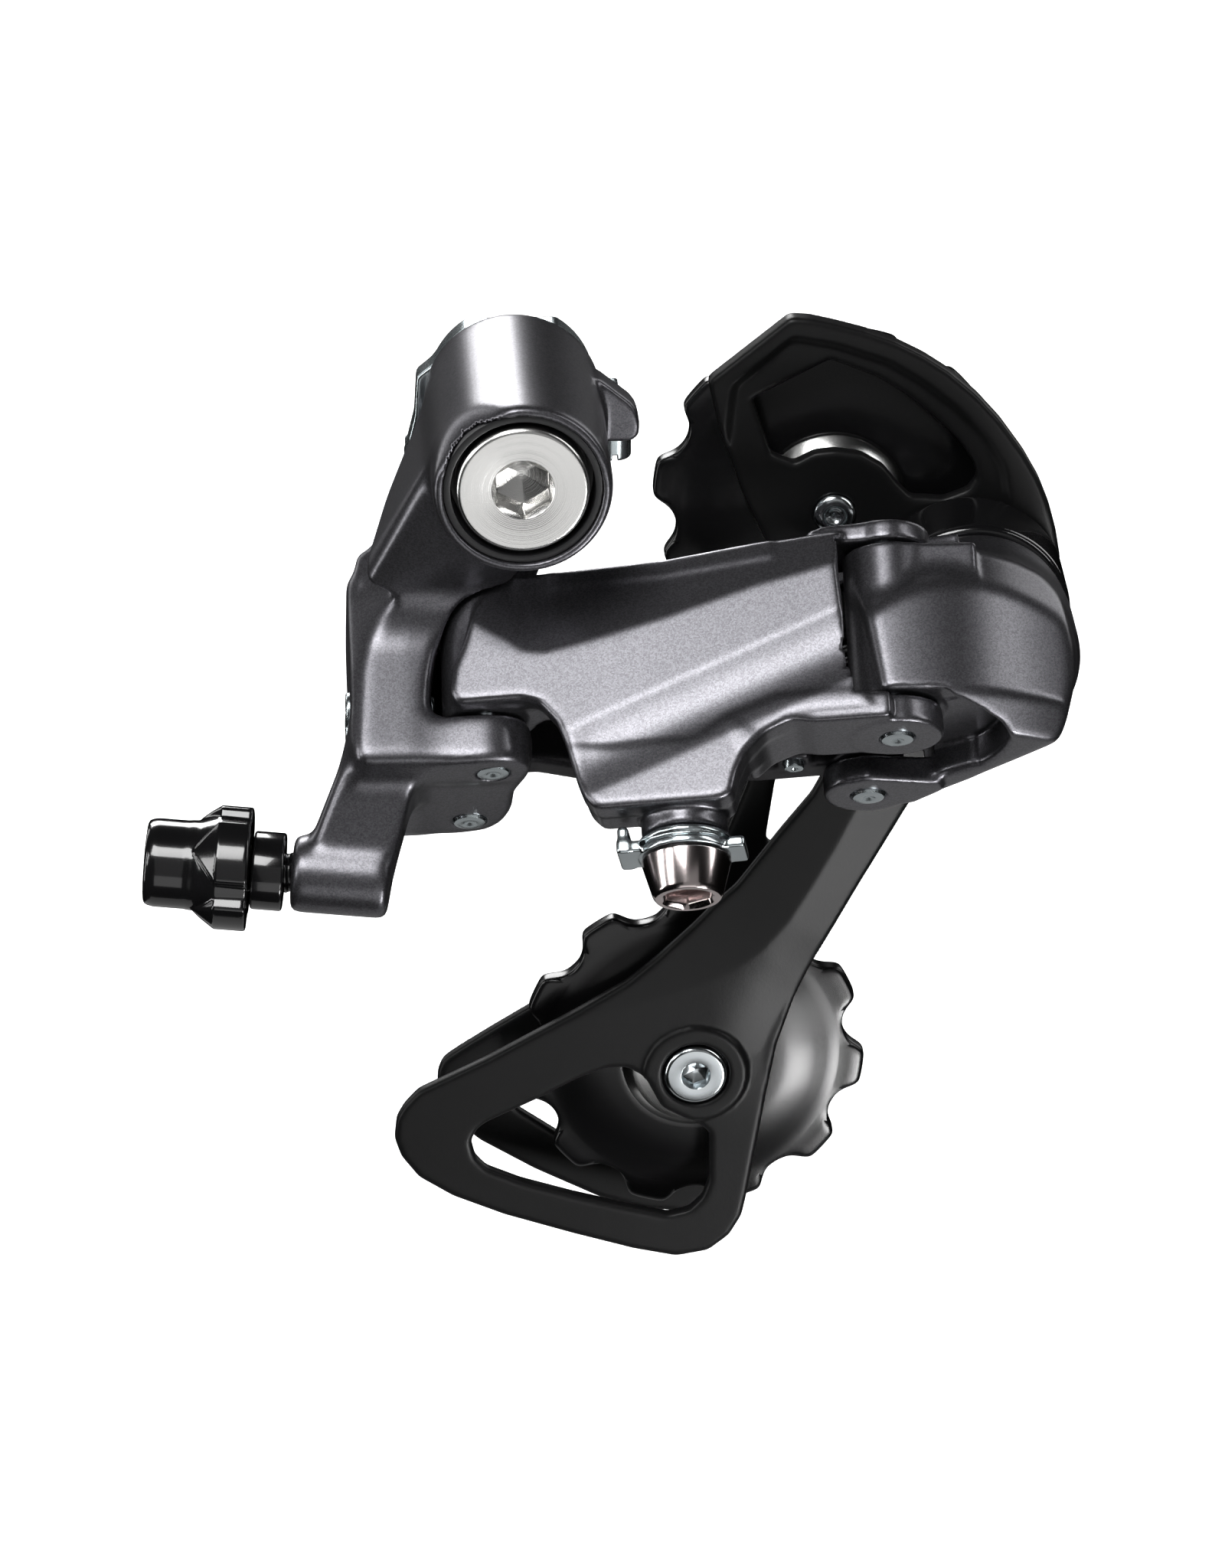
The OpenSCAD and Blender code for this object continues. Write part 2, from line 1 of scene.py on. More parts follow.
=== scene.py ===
import bpy, bmesh, math
import numpy as np
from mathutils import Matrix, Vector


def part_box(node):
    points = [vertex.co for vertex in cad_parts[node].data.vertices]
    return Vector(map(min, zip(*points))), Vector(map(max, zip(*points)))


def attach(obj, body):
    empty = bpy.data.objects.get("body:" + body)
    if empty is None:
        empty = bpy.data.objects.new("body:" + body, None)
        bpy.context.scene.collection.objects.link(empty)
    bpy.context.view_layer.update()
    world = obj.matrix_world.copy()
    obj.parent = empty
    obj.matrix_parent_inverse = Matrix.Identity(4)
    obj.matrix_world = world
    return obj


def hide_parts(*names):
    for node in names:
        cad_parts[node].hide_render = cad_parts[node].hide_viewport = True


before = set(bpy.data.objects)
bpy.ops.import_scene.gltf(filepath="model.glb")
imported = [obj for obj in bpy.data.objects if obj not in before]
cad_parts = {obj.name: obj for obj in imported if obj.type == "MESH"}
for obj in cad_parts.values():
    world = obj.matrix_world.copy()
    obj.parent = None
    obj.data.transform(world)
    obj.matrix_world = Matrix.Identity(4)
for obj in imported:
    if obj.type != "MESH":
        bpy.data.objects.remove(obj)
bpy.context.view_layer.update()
Q = 1.0

# ---------------------------------------------------------------- layout (mm)
LEN, LEAN = 46.9, math.radians(8.7)
BO, BI = (-3.6, 6.7), (-6.0, 21.7)
PO = (BO[0] + LEN * math.cos(LEAN), BO[1] - LEN * math.sin(LEAN))
PI = (BI[0] + LEN * math.cos(LEAN), BI[1] - LEN * math.sin(LEAN))
PX, PZ = 54.2, -28.8
GX, GZ = 38.42, -19.5
TX = 22.27
TZ = GZ - math.sqrt(76.3 ** 2 - (GX - TX) ** 2)
Y0, Y1, Y2, Y3, YM = 3.6, 5.6, 14.6, 16.4, 10.1


def rot(axis, deg):
    a = math.radians(deg)
    c, s = math.cos(a), math.sin(a)
    m = np.eye(4)
    i, j = {"x": (1, 2), "y": (2, 0), "z": (0, 1)}[axis]
    m[i, i], m[i, j], m[j, i], m[j, j] = c, -s, s, c
    return m


def move(x, y, z):
    m = np.eye(4)
    m[:3, 3] = (x, y, z)
    return m


WORLD = np.eye(4)
SLANT = rot("x", -48)
OUTER = SLANT @ move(BO[0], BO[1], 0) @ rot("z", -8.7)
INNER = SLANT @ move(BI[0], BI[1], 0) @ rot("z", -8.7)
CLAMP = OUTER @ move(22, -1, 0)
# adjuster frame: Z out of the boss, rearwards (rotate([0, 86.01, 174.86]) in the CAD)
ADJ = move(-27, -31, -48) @ rot("z", 174.86) @ rot("y", 86.01)
YTURN = lambda x=0, z=0: move(x, 0, z) @ rot("x", -90)  # local z = +Y

# ---------------------------------------------------------------- distance fields


def smin(a, b, k):
    if k <= 0:
        return np.minimum(a, b)
    h = np.clip(0.5 + 0.5 * (b - a) / k, 0, 1)
    return b + (a - b) * h - k * h * (1 - h)


def smax(a, b, k):
    return -smin(-a, -b, k)


def poly_sd(px, py, pts):
    """signed distance to a polygon, negative inside"""
    d = np.full(np.broadcast(px, py).shape, 1e9)
    s = np.ones(d.shape)
    n = len(pts)
    for i in range(n):
        ax, ay = pts[i]
        bx, by = pts[(i + 1) % n]
        ex, ey = bx - ax, by - ay
        wx, wy = px - ax, py - ay
        t = np.clip((wx * ex + wy * ey) / (ex * ex + ey * ey + 1e-12), 0, 1)
        d = np.minimum(d, (wx - ex * t) ** 2 + (wy - ey * t) ** 2)
        c1, c2, c3 = wy >= 0, py < by, ex * wy > ey * wx
        flip = (c1 & c2 & c3) | (~c1 & ~c2 & ~c3)
        s = np.where(flip, -s, s)
    return s * np.sqrt(d)


def line_sd(px, py, pts):
    """distance to an open line"""
    d = np.full(np.broadcast(px, py).shape, 1e9)
    for (ax, ay), (bx, by) in zip(pts[:-1], pts[1:]):
        ex, ey = bx - ax, by - ay
        wx, wy = px - ax, py - ay
        t = np.clip((wx * ex + wy * ey) / (ex * ex + ey * ey + 1e-12), 0, 1)
        d = np.minimum(d, (wx - ex * t) ** 2 + (wy - ey * t) ** 2)
    return np.sqrt(d)


def gauss(a, sig, axes):
    if sig <= 0:
        return a
    r = max(1, int(math.ceil(2.5 * sig)))
    w = np.exp(-0.5 * (np.arange(-r, r + 1) / sig) ** 2)
    w = (w / w.sum()).astype(a.dtype)
    for ax in axes:
        if a.shape[ax] < 2:
            continue
        p = np.pad(a, [(r, r) if i == ax else (0, 0) for i in range(a.ndim)], mode="reflect", reflect_type="odd")
        out = np.zeros_like(a)
        for i, c in enumerate(w):
            sl = [slice(None)] * a.ndim
            sl[ax] = slice(i, i + a.shape[ax])
            out += c * p[tuple(sl)]
        a = out
    return a


class Table:
    """a polygon's distance on a fine 2-D grid, corners rounded by a blur, looked up anywhere"""

    def __init__(self, pts, soft=0.0, pad=12.0, st=0.15):
        p = np.array(pts, float)
        self.lo = p.min(0) - pad
        hi = p.max(0) + pad
        self.st = st
        n = np.ceil((hi - self.lo) / st).astype(int) + 1
        x = self.lo[0] + st * np.arange(n[0])
        y = self.lo[1] + st * np.arange(n[1])
        self.t = poly_sd(x[:, None], y[None, :], p.tolist()).astype(np.float32)
        if soft > 0:
            self.t = gauss(self.t, soft / st, (0, 1))

    def __call__(self, a, b):
        a, b = np.broadcast_arrays(a, b)
        u = np.clip((a - self.lo[0]) / self.st, 0, self.t.shape[0] - 1.001)
        v = np.clip((b - self.lo[1]) / self.st, 0, self.t.shape[1] - 1.001)
        i, j = u.astype(np.int32), v.astype(np.int32)
        u = u - i
        v = v - j
        t = self.t
        return ((t[i, j] * (1 - u) + t[i + 1, j] * u) * (1 - v) + (t[i, j + 1] * (1 - u) + t[i + 1, j + 1] * u) * v).astype(np.float32)


class Field:
    """a block of samples in the frame M (mm); parts are added and cut as distances"""

    def __init__(self, M, lo, hi, h):
        self.M, self.h = M, h * Q
        self.lo = np.array(lo, float)
        n = np.ceil((np.array(hi, float) - self.lo) / self.h).astype(int) + 1
        self.n = n
        self.ax = [self.lo[i] + self.h * np.arange(n[i]) for i in range(3)]
        self.f = np.full(n, 50.0, np.float32)

    def loc(self, F=None, sl=None):
        T = np.linalg.inv(WORLD if F is None else F) @ self.M
        ax = self.ax if sl is None else [a[s] for a, s in zip(self.ax, sl)]
        G = [ax[0][:, None, None].astype(np.float32), ax[1][None, :, None].astype(np.float32), ax[2][None, None, :].astype(np.float32)]
        out = []
        for r in range(3):
            v = np.float32(T[r, 3])
            for c in range(3):
                if abs(T[r, c]) > 1e-7:
                    v = v + G[c] * np.float32(T[r, c])
            out.append(v)
        return out

    def near(self, pts_world, pad):
        """slices of the block round some points given in world mm"""
        p = np.array(pts_world, float)
        q = (np.linalg.inv(self.M) @ np.c_[p, np.ones(len(p))].T)[:3].T
        a = np.clip(np.floor((q.min(0) - pad - self.lo) / self.h).astype(int), 0, self.n - 1)
        b = np.clip(np.ceil((q.max(0) + pad - self.lo) / self.h).astype(int) + 1, 1, self.n)
        return tuple(slice(int(i), int(j)) for i, j in zip(a, b))

    # primitives ------------------------------------------------------------
    def cyl(self, F, r, a, b, c=(0, 0), k=0.4, r2=None, axis="z"):
        x, y, z = self.loc(F)
        if axis == "y":
            x, y, z = x, z, y
        q = np.hypot(x - c[0], y - c[1])
        if r2 is not None:
            t = (z - a) / (b - a)
            q = (q - (r + (r2 - r) * t)) * (1 / math.hypot(1, (r2 - r) / (b - a)))
        else:
            q = q - r
        return smax(q, np.abs(z - (a + b) / 2) - (b - a) / 2, k)

    def box(self, F, lo, size, k=0.4):
        L = self.loc(F)
        d = [np.abs(L[i] - (lo[i] + size[i] / 2)) - size[i] / 2 for i in range(3)]
        return smax(smax(d[0], d[1], k), d[2], k)

    def prism(self, F, pts, a, b, axis="z", soft=0.3, k=0.5):
        x, y, z = self.loc(F)
        t = Table(pts, soft)
        if axis == "z":
            p, q, s = x, y, z
        elif axis == "y":
            p, q, s = x, z, y
        d = t(p, q)
        return smax(d, np.abs(s - (a + b) / 2) - (b - a) / 2, k)

    def hull(self, pts, pad=3.5):
        """convex shape round world points: (slices, distance)"""
        bm = bmesh.new()
        vs = [bm.verts.new(p) for p in pts]
        bmesh.ops.convex_hull(bm, input=vs)
        planes = {}
        for fc in bm.faces:
            n = fc.normal
            if n.length < 0.5:
                continue
            key = tuple(round(v, 3) for v in n) + (round(n.dot(fc.verts[0].co), 2),)
            planes[key] = (n.x, n.y, n.z, n.dot(fc.verts[0].co))
        bm.free()
        c = np.mean(np.array(pts), 0)
        sl = self.near(pts, pad)
        X, Y, Z = self.loc(None, sl)
        f = None
        for nx, ny, nz, d in planes.values():
            if nx * c[0] + ny * c[1] + nz * c[2] > d:
                nx, ny, nz, d = -nx, -ny, -nz, -d
            v = X * np.float32(nx) + Y * np.float32(ny) + Z * np.float32(nz) - np.float32(d)
            f = v if f is None else np.maximum(f, v)
        return sl, f

    # putting together -------------------------------------------------------
    def add(self, d, k=0.0):
        if isinstance(d, tuple):
            sl, d = d
            self.f[sl] = smin(self.f[sl], d, k)
        else:
            self.f = smin(self.f, d, k).astype(np.float32)
        return self

    def cut(self, d, k=0.0):
        self.f = smax(self.f, -d, k).astype(np.float32)
        return self

    def keep(self, d, k=0.0):
        self.f = smax(self.f, d, k).astype(np.float32)
        return self

    def blur(self, mm):
        self.f = gauss(self.f, mm / self.h, (0, 1, 2))
        return self

    def mesh(self):
        """surface nets: one point per crossed cell, one quad per crossed edge"""
        f = self.f
        f = np.where(np.abs(f) < 1e-5, np.float32(1e-5), f)
        f[0], f[-1], f[:, 0], f[:, -1], f[:, :, 0], f[:, :, -1] = [np.maximum(v, 0.01) for v in (f[0], f[-1], f[:, 0], f[:, -1], f[:, :, 0], f[:, :, -1])]
        s = f < 0
        c = np.zeros(np.array(f.shape) - 1, np.int8)
        for i in (0, 1):
            for j in (0, 1):
                for k in (0, 1):
                    c += s[i:f.shape[0] - 1 + i, j:f.shape[1] - 1 + j, k:f.shape[2] - 1 + k]
        act = (c > 0) & (c < 8)
        cells = np.argwhere(act)
        idx = np.full(act.shape, -1, np.int64)
        idx[act] = np.arange(len(cells))
        pos = np.zeros((len(cells), 3))
        cnt = np.zeros(len(cells))
        cor = [np.array(v) for v in [(i, j, k) for i in (0, 1) for j in (0, 1) for k in (0, 1)]]
        for a in cor:
            for ax in range(3):
                if a[ax]:
                    continue
                b = a.copy()
                b[ax] = 1
                fa = f[cells[:, 0] + a[0], cells[:, 1] + a[1], cells[:, 2] + a[2]]
                fb = f[cells[:, 0] + b[0], cells[:, 1] + b[1], cells[:, 2] + b[2]]
                cr = (fa < 0) != (fb < 0)
                t = fa[cr] / (fa[cr] - fb[cr])
                pos[cr] += a + t[:, None] * (b - a)
                cnt[cr] += 1
        pos = (cells + pos / cnt[:, None]) * self.h + self.lo
        quads = []
        for ax in range(3):
            o = [(1, 2), (2, 0), (0, 1)][ax]
            sl0 = [slice(1, -1)] * 3
            sl0[ax] = slice(0, -1)
            sl1 = list(sl0)
            sl1[ax] = slice(1, None)
            a_, b_ = s[tuple(sl0)], s[tuple(sl1)]
            for out, cond in ((False, a_ & ~b_), (True, ~a_ & b_)):
                e = np.argwhere(cond)
                off = np.array([0 if i == ax else 1 for i in range(3)])
                e = e + off
                q = []
                for du, dv in ((0, 0), (1, 0), (1, 1), (0, 1)):
                    g = e.copy()
                    g[:, o[0]] -= du
                    g[:, o[1]] -= dv
                    q.append(idx[g[:, 0], g[:, 1], g[:, 2]])
                q = np.stack(q, 1)
                quads.append(q if not out else q[:, ::-1])
        q = np.concatenate(quads)
        w = (self.M @ np.c_[pos, np.ones(len(pos))].T)[:3].T
        return w * 0.001, q


def put(name, v, q, mat, body, nodes, smooth=True, sharp=None):
    """a mesh object from arrays (metres) riding on a body"""
    me = bpy.data.meshes.new(name)
    q = np.asarray(q)
    me.vertices.add(len(v))
    me.vertices.foreach_set("co", np.asarray(v, np.float32).ravel())
    k = q.shape[1]
    me.loops.add(q.size)
    me.loops.foreach_set("vertex_index", q.astype(np.int32).ravel())
    me.polygons.add(len(q))
    me.polygons.foreach_set("loop_start", np.arange(0, q.size, k, dtype=np.int32))
    me.polygons.foreach_set("loop_total", np.full(len(q), k, np.int32))
    me.update(calc_edges=True)
    me.validate()
    me.polygons.foreach_set("use_smooth", np.full(len(me.polygons), smooth))
    if sharp:
        me.set_sharp_from_angle(angle=math.radians(sharp))
    o = bpy.data.objects.new(name, me)
    bpy.context.scene.collection.objects.link(o)
    o.data.materials.append(mat)
    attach(o, body)
    if nodes:
        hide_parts(*nodes)
    return o


def put_field(name, F, mat, body, nodes):
    v, q = F.mesh()
    print(name, len(v), "points", F.f.shape)
    return put(name, v, q, mat, body, nodes)


class Bag:
    """loops of points joined into one mesh, several solids if wanted (mm)"""

    def __init__(self):
        self.v, self.q, self.n = [], [], 0

    def loft(self, loops, M=WORLD, cap=(True, True)):
        """loops: equal rings of 3-D points, from one end to the other"""
        L = [np.asarray(l, float) for l in loops]
        n = len(L[0])
        P = np.concatenate(L)
        base = self.n
        i = np.arange(n)
        j = (i + 1) % n
        for r in range(len(L) - 1):
            a, b = base + r * n, base + (r + 1) * n
            self.q.append(np.stack([a + i, a + j, b + j, b + i], 1))
        ext = []
        for end, on in ((0, cap[0]), (len(L) - 1, cap[1])):
            if not on:
                continue
            c = L[end].mean(0)
            ci = base + len(P) + len(ext)
            ext.append(c)
            a = base + end * n
            f = np.stack([a + j, a + i, np.full(n, ci), np.full(n, ci)], 1) if end == 0 else np.stack([a + i, a + j, np.full(n, ci), np.full(n, ci)], 1)
            self.q.append(f)
        if ext:
            P = np.concatenate([P, np.array(ext)])
        P = (M @ np.c_[P, np.ones(len(P))].T)[:3].T
        self.v.append(P)
        self.n += len(P)
        return self

    def lathe(self, prof, M=WORLD, n=96, cap=(True, True)):
        """prof: (r, z) pairs round the local z axis; r 0 ends are capped"""
        t = 2 * math.pi * np.arange(n) / n
        return self.loft([np.stack([r * np.cos(t), r * np.sin(t), np.full(n, z)], 1) for r, z in prof], M, cap)

    def ring(self, prof, M=WORLD, n=96):
        """a closed profile turned into a ring"""
        t = 2 * math.pi * np.arange(n) / n
        loops = [np.stack([r * np.cos(t), r * np.sin(t), np.full(n, z)], 1) for r, z in prof]
        return self.loft(loops + [loops[0]], M, (False, False))

    def done(self, name, mat, body, nodes, sharp=35):
        v = np.concatenate(self.v) * 0.001
        q = np.concatenate(self.q)
        me = bpy.data.meshes.new(name)
        faces = [tuple(f[:3]) if f[2] == f[3] else tuple(f) for f in q.tolist()]
        me.from_pydata(v.tolist(), [], faces)
        bm = bmesh.new()
        bm.from_mesh(me)
        bmesh.ops.remove_doubles(bm, verts=bm.verts, dist=2e-7)
        bmesh.ops.dissolve_degenerate(bm, edges=bm.edges, dist=1e-7)
        bmesh.ops.recalc_face_normals(bm, faces=bm.faces)
        bm.to_mesh(me)
        bm.free()
        me.polygons.foreach_set("use_smooth", np.full(len(me.polygons), True))
        me.set_sharp_from_angle(angle=math.radians(sharp))
        o = bpy.data.objects.new(name, me)
        bpy.context.scene.collection.objects.link(o)
        o.data.materials.append(mat)
        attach(o, body)
        if nodes:
            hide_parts(*nodes)
        return o


def rounded(prof, r=0.25, seg=3):
    """the same (r, z) profile with its corners turned into short arcs"""
    out = []
    n = len(prof)
    for i, p in enumerate(prof):
        p = np.array(p, float)
        if i in (0, n - 1):
            out.append(tuple(p))
            continue
        a, b = np.array(prof[i - 1], float), np.array(prof[i + 1], float)
        da, db = a - p, b - p
        la, lb = np.linalg.norm(da), np.linalg.norm(db)
        if la < 1e-6 or lb < 1e-6:
            continue
        rr = min(r, la * 0.45, lb * 0.45)
        s, t = p + da / la * rr, p + db / lb * rr
        for k in range(seg + 1):
            w = k / seg
            out.append(tuple((1 - w) ** 2 * s + 2 * w * (1 - w) * p + w * w * t))
    return out


def ngon(af, n=96, turn=0.0):
    """n points round a hexagon of that size across flats"""
    t = 2 * np.pi * np.arange(n) / n
    a = (t - turn + math.pi / 6) % (math.pi / 3) - math.pi / 6
    r = af / 2 / np.cos(a)
    return np.stack([r * np.cos(t), r * np.sin(t)], 1)


def ring_pts(r, z, n=96):
    t = 2 * np.pi * np.arange(n) / n
    return np.stack([r * np.cos(t), r * np.sin(t), np.full(n, z)], 1)


def at(xy, z):
    return np.c_[xy, np.full(len(xy), z)]


def arc(c, r, a, b, k=12):
    return [(c[0] + r * math.cos(math.radians(a + (b - a) * i / k)), c[1] + r * math.sin(math.radians(a + (b - a) * i / k))) for i in range(k + 1)]


def sector(c, r, a, b, k=16):
    return [tuple(c)] + arc(c, r, a, b, k)


def tube_pts(F, r, a, b, c=(0, 0), n=40):
    """world points on the two rims of a cylinder, for hulls"""
    t = 2 * np.pi * np.arange(n) / n
    P = np.concatenate([np.stack([c[0] + r * np.cos(t), c[1] + r * np.sin(t), np.full(n, z)], 1) for z in (a, b)])
    return ((F @ np.c_[P, np.ones(len(P))].T)[:3].T).tolist()


def box_pts(F, lo, size):
    P = np.array([[lo[0] + i * size[0], lo[1] + j * size[1], lo[2] + k * size[2]] for i in (0, 1) for j in (0, 1) for k in (0, 1)], float)
    return ((F @ np.c_[P, np.ones(8)].T)[:3].T).tolist()


def prism_pts(F, pts, a, b, axis="z"):
    P = []
    for s in (a, b):
        for x, y in pts:
            P.append((x, y, s) if axis == "z" else (x, s, y))
    P = np.array(P, float)
    return ((F @ np.c_[P, np.ones(len(P))].T)[:3].T).tolist()

# ---------------------------------------------------------------- materials


def material(name, base, metal=0.0, rough=0.5, coat=0.0, coat_rough=0.1, grain=0.0, grain_scale=4000.0, spread=0.0, fleck=0.0, rings=None, aniso=0.0, spec=0.5):
    """base colour with a fine grain; every number that is even over the surface sits on the shader"""
    m = bpy.data.materials.new(name)
    m.use_nodes = True
    nt = m.node_tree
    N, L = nt.nodes, nt.links
    bs = next(n for n in N if n.type == "BSDF_PRINCIPLED")
    bs.inputs["Base Color"].default_value = (*base, 1)
    bs.inputs["Metallic"].default_value = metal
    bs.inputs["Roughness"].default_value = rough
    bs.inputs["Coat Weight"].default_value = coat
    bs.inputs["Coat Roughness"].default_value = coat_rough
    bs.inputs["Specular IOR Level"].default_value = spec
    co = N.new("ShaderNodeTexCoord")
    nz = N.new("ShaderNodeTexNoise")
    nz.inputs["Scale"].default_value = grain_scale
    nz.inputs["Detail"].default_value = 2.0
    L.new(co.outputs["Object"], nz.inputs["Vector"])
    # colour: slow drift plus, on metallic paint, flecks
    slow = N.new("ShaderNodeTexNoise")
    slow.inputs["Scale"].default_value = 90.0
    L.new(co.outputs["Object"], slow.inputs["Vector"])
    ramp = N.new("ShaderNodeMapRange")
    ramp.inputs["From Min"].default_value = 0.3
    ramp.inputs["From Max"].default_value = 0.7
    ramp.inputs["To Min"].default_value = 1.0 - spread
    ramp.inputs["To Max"].default_value = 1.0 + spread
    L.new(slow.outputs["Fac"], ramp.inputs["Value"])
    mul = N.new("ShaderNodeVectorMath")
    mul.operation = "SCALE"
    mul.inputs[0].default_value = base
    L.new(ramp.outputs["Result"], mul.inputs["Scale"])
    last = mul.outputs["Vector"]
    if fleck > 0:
        vo = N.new("ShaderNodeTexVoronoi")
        vo.inputs["Scale"].default_value = 6500.0
        L.new(co.outputs["Object"], vo.inputs["Vector"])
        sep = N.new("ShaderNodeSeparateColor")
        L.new(vo.outputs["Color"], sep.inputs["Color"])
        fr = N.new("ShaderNodeMapRange")
        fr.inputs["From Min"].default_value = 0.0
        fr.inputs["From Max"].default_value = 1.0
        fr.inputs["To Min"].default_value = 1.0 - fleck
        fr.inputs["To Max"].default_value = 1.0 + fleck
        L.new(sep.outputs["Red"], fr.inputs["Value"])
        m2 = N.new("ShaderNodeVectorMath")
        m2.operation = "SCALE"
        L.new(last, m2.inputs[0])
        L.new(fr.outputs["Result"], m2.inputs["Scale"])
        last = m2.outputs["Vector"]
    if rings is not None:
        # turning marks: fine rings round an axis along Y through (x, z)
        sx = N.new("ShaderNodeSeparateXYZ")
        L.new(co.outputs["Object"], sx.inputs["Vector"])
        a = N.new("ShaderNodeMath"); a.operation = "SUBTRACT"; a.inputs[1].default_value = rings[0]
        b = N.new("ShaderNodeMath"); b.operation = "SUBTRACT"; b.inputs[1].default_value = rings[1]
        L.new(sx.outputs["X"], a.inputs[0])
        L.new(sx.outputs["Z"], b.inputs[0])
        cx = N.new("ShaderNodeCombineXYZ")
        L.new(a.outputs[0], cx.inputs["X"])
        L.new(b.outputs[0], cx.inputs["Z"])
        ln = N.new("ShaderNodeVectorMath"); ln.operation = "LENGTH"
        L.new(cx.outputs["Vector"], ln.inputs[0])
        c2 = N.new("ShaderNodeCombineXYZ")
        L.new(ln.outputs["Value"], c2.inputs["X"])
        rn = N.new("ShaderNodeTexNoise")
        rn.inputs["Scale"].default_value = 6000.0
        L.new(c2.outputs["Vector"], rn.inputs["Vector"])
        bp = N.new("ShaderNodeBump")
        bp.inputs["Strength"].default_value = 0.8
        bp.inputs["Distance"].default_value = 0.00003
        L.new(rn.outputs["Fac"], bp.inputs["Height"])
        L.new(bp.outputs["Normal"], bs.inputs["Normal"])
    elif grain > 0:
        bp = N.new("ShaderNodeBump")
        bp.inputs["Strength"].default_value = grain
        bp.inputs["Distance"].default_value = 0.00003
        L.new(nz.outputs["Fac"], bp.inputs["Height"])
        L.new(bp.outputs["Normal"], bs.inputs["Normal"])
    L.new(last, bs.inputs["Base Color"])
    return m


PAINT = material("paint_grey", (0.135, 0.133, 0.145), metal=0.88, rough=0.33, coat=0.12, coat_rough=0.16, grain=0.10, grain_scale=5200, spread=0.05, fleck=0.24, spec=0.4)
LINKP = material("paint_grey_link", (0.135, 0.133, 0.145), metal=0.88, rough=0.32, coat=0.14, coat_rough=0.15, grain=0.10, grain_scale=5200, spread=0.05, fleck=0.24, spec=0.4)
DARKP = material("paint_dark", (0.030, 0.029, 0.032), metal=0.6, rough=0.40, coat=0.05, coat_rough=0.3, grain=0.12, grain_scale=5200, spread=0.05, fleck=0.15, spec=0.3)
CAGE = material("cage_black", (0.007, 0.007, 0.0073), metal=0.0, rough=0.38, grain=0.30, grain_scale=3200, spread=0.08, spec=0.22)
RESIN = material("pulley_resin", (0.004, 0.004, 0.0044), metal=0.0, rough=0.27, coat=0.12, coat_rough=0.14, grain=0.12, grain_scale=2400, spread=0.06, spec=0.45)
GLOSS = material("gloss_black", (0.007, 0.007, 0.0075), metal=0.0, rough=0.16, coat=0.6, coat_rough=0.05, grain=0.05, grain_scale=1800, spread=0.05)
PLASTIC = material("black_plastic", (0.010, 0.010, 0.011), metal=0.0, rough=0.38, grain=0.2, grain_scale=2600, spread=0.06)
TURNED = material("turned_steel", (0.80, 0.795, 0.78), metal=1.0, rough=0.24, spread=0.03, rings=(0.0, 0.0))
ZINC = material("zinc", (0.60, 0.66, 0.68), metal=1.0, rough=0.25, grain=0.12, grain_scale=1500, spread=0.07)
CHROME = material("clamp_chrome", (0.70, 0.62, 0.61), metal=1.0, rough=0.17, grain=0.05, grain_scale=1500, spread=0.05)
CAPS = material("cap_steel", (0.78, 0.78, 0.77), metal=1.0, rough=0.22, spread=0.03, grain=0.05)
SPRING = material("spring_steel", (0.32, 0.32, 0.33), metal=1.0, rough=0.32, spread=0.04, grain=0.06)
BUSHM = material("bush_steel", (0.60, 0.58, 0.54), metal=1.0, rough=0.35, spread=0.04, grain=0.06)
PULLEY_SCREW = material("zinc_bright", (0.66, 0.70, 0.72), metal=1.0, rough=0.20, grain=0.06, grain_scale=1500, spread=0.05)

# ---------------------------------------------------------------- camera and light first
sc = bpy.context.scene
AZ, EL = math.radians(-3.15), math.radians(25.9)
R_ = (math.cos(AZ), math.sin(AZ), 0)
U_ = (-math.sin(AZ) * math.sin(EL), math.cos(AZ) * math.sin(EL), math.cos(EL))
B_ = (math.sin(AZ) * math.cos(EL), -math.cos(AZ) * math.cos(EL), math.sin(EL))
from mathutils import Matrix, Vector
cam = bpy.data.objects.new("camera", bpy.data.cameras.new("camera"))
sc.collection.objects.link(cam)
cam.matrix_world = Matrix(((R_[0], U_[0], B_[0], -0.035726), (R_[1], U_[1], B_[1], -0.865036), (R_[2], U_[2], B_[2], 0.368051), (0, 0, 0, 1)))
cam.data.sensor_fit = "AUTO"
cam.data.sensor_width = 36
cam.data.lens = 184.57
cam.data.clip_start = 0.05
cam.data.clip_end = 20
sc.camera = cam
sc.view_settings.view_transform = "Standard"
sc.view_settings.look = "None"
sc.view_settings.exposure = 0.0
sc.view_settings.gamma = 1.0

AIM = Vector((0.018, -0.012, -0.045))


def light(name, pos, size, power, aim=AIM, colour=(1, 1, 1), size_y=None):
    d = bpy.data.lights.new(name, "AREA")
    d.shape = "RECTANGLE"
    d.size = size
    d.size_y = size_y or size
    d.energy = power
    d.color = colour
    o = bpy.data.objects.new(name, d)
    sc.collection.objects.link(o)
    o.location = pos
    o.rotation_euler = (Vector(pos) - Vector(aim)).to_track_quat("Z", "Y").to_euler()
    o.visible_camera = False
    return o


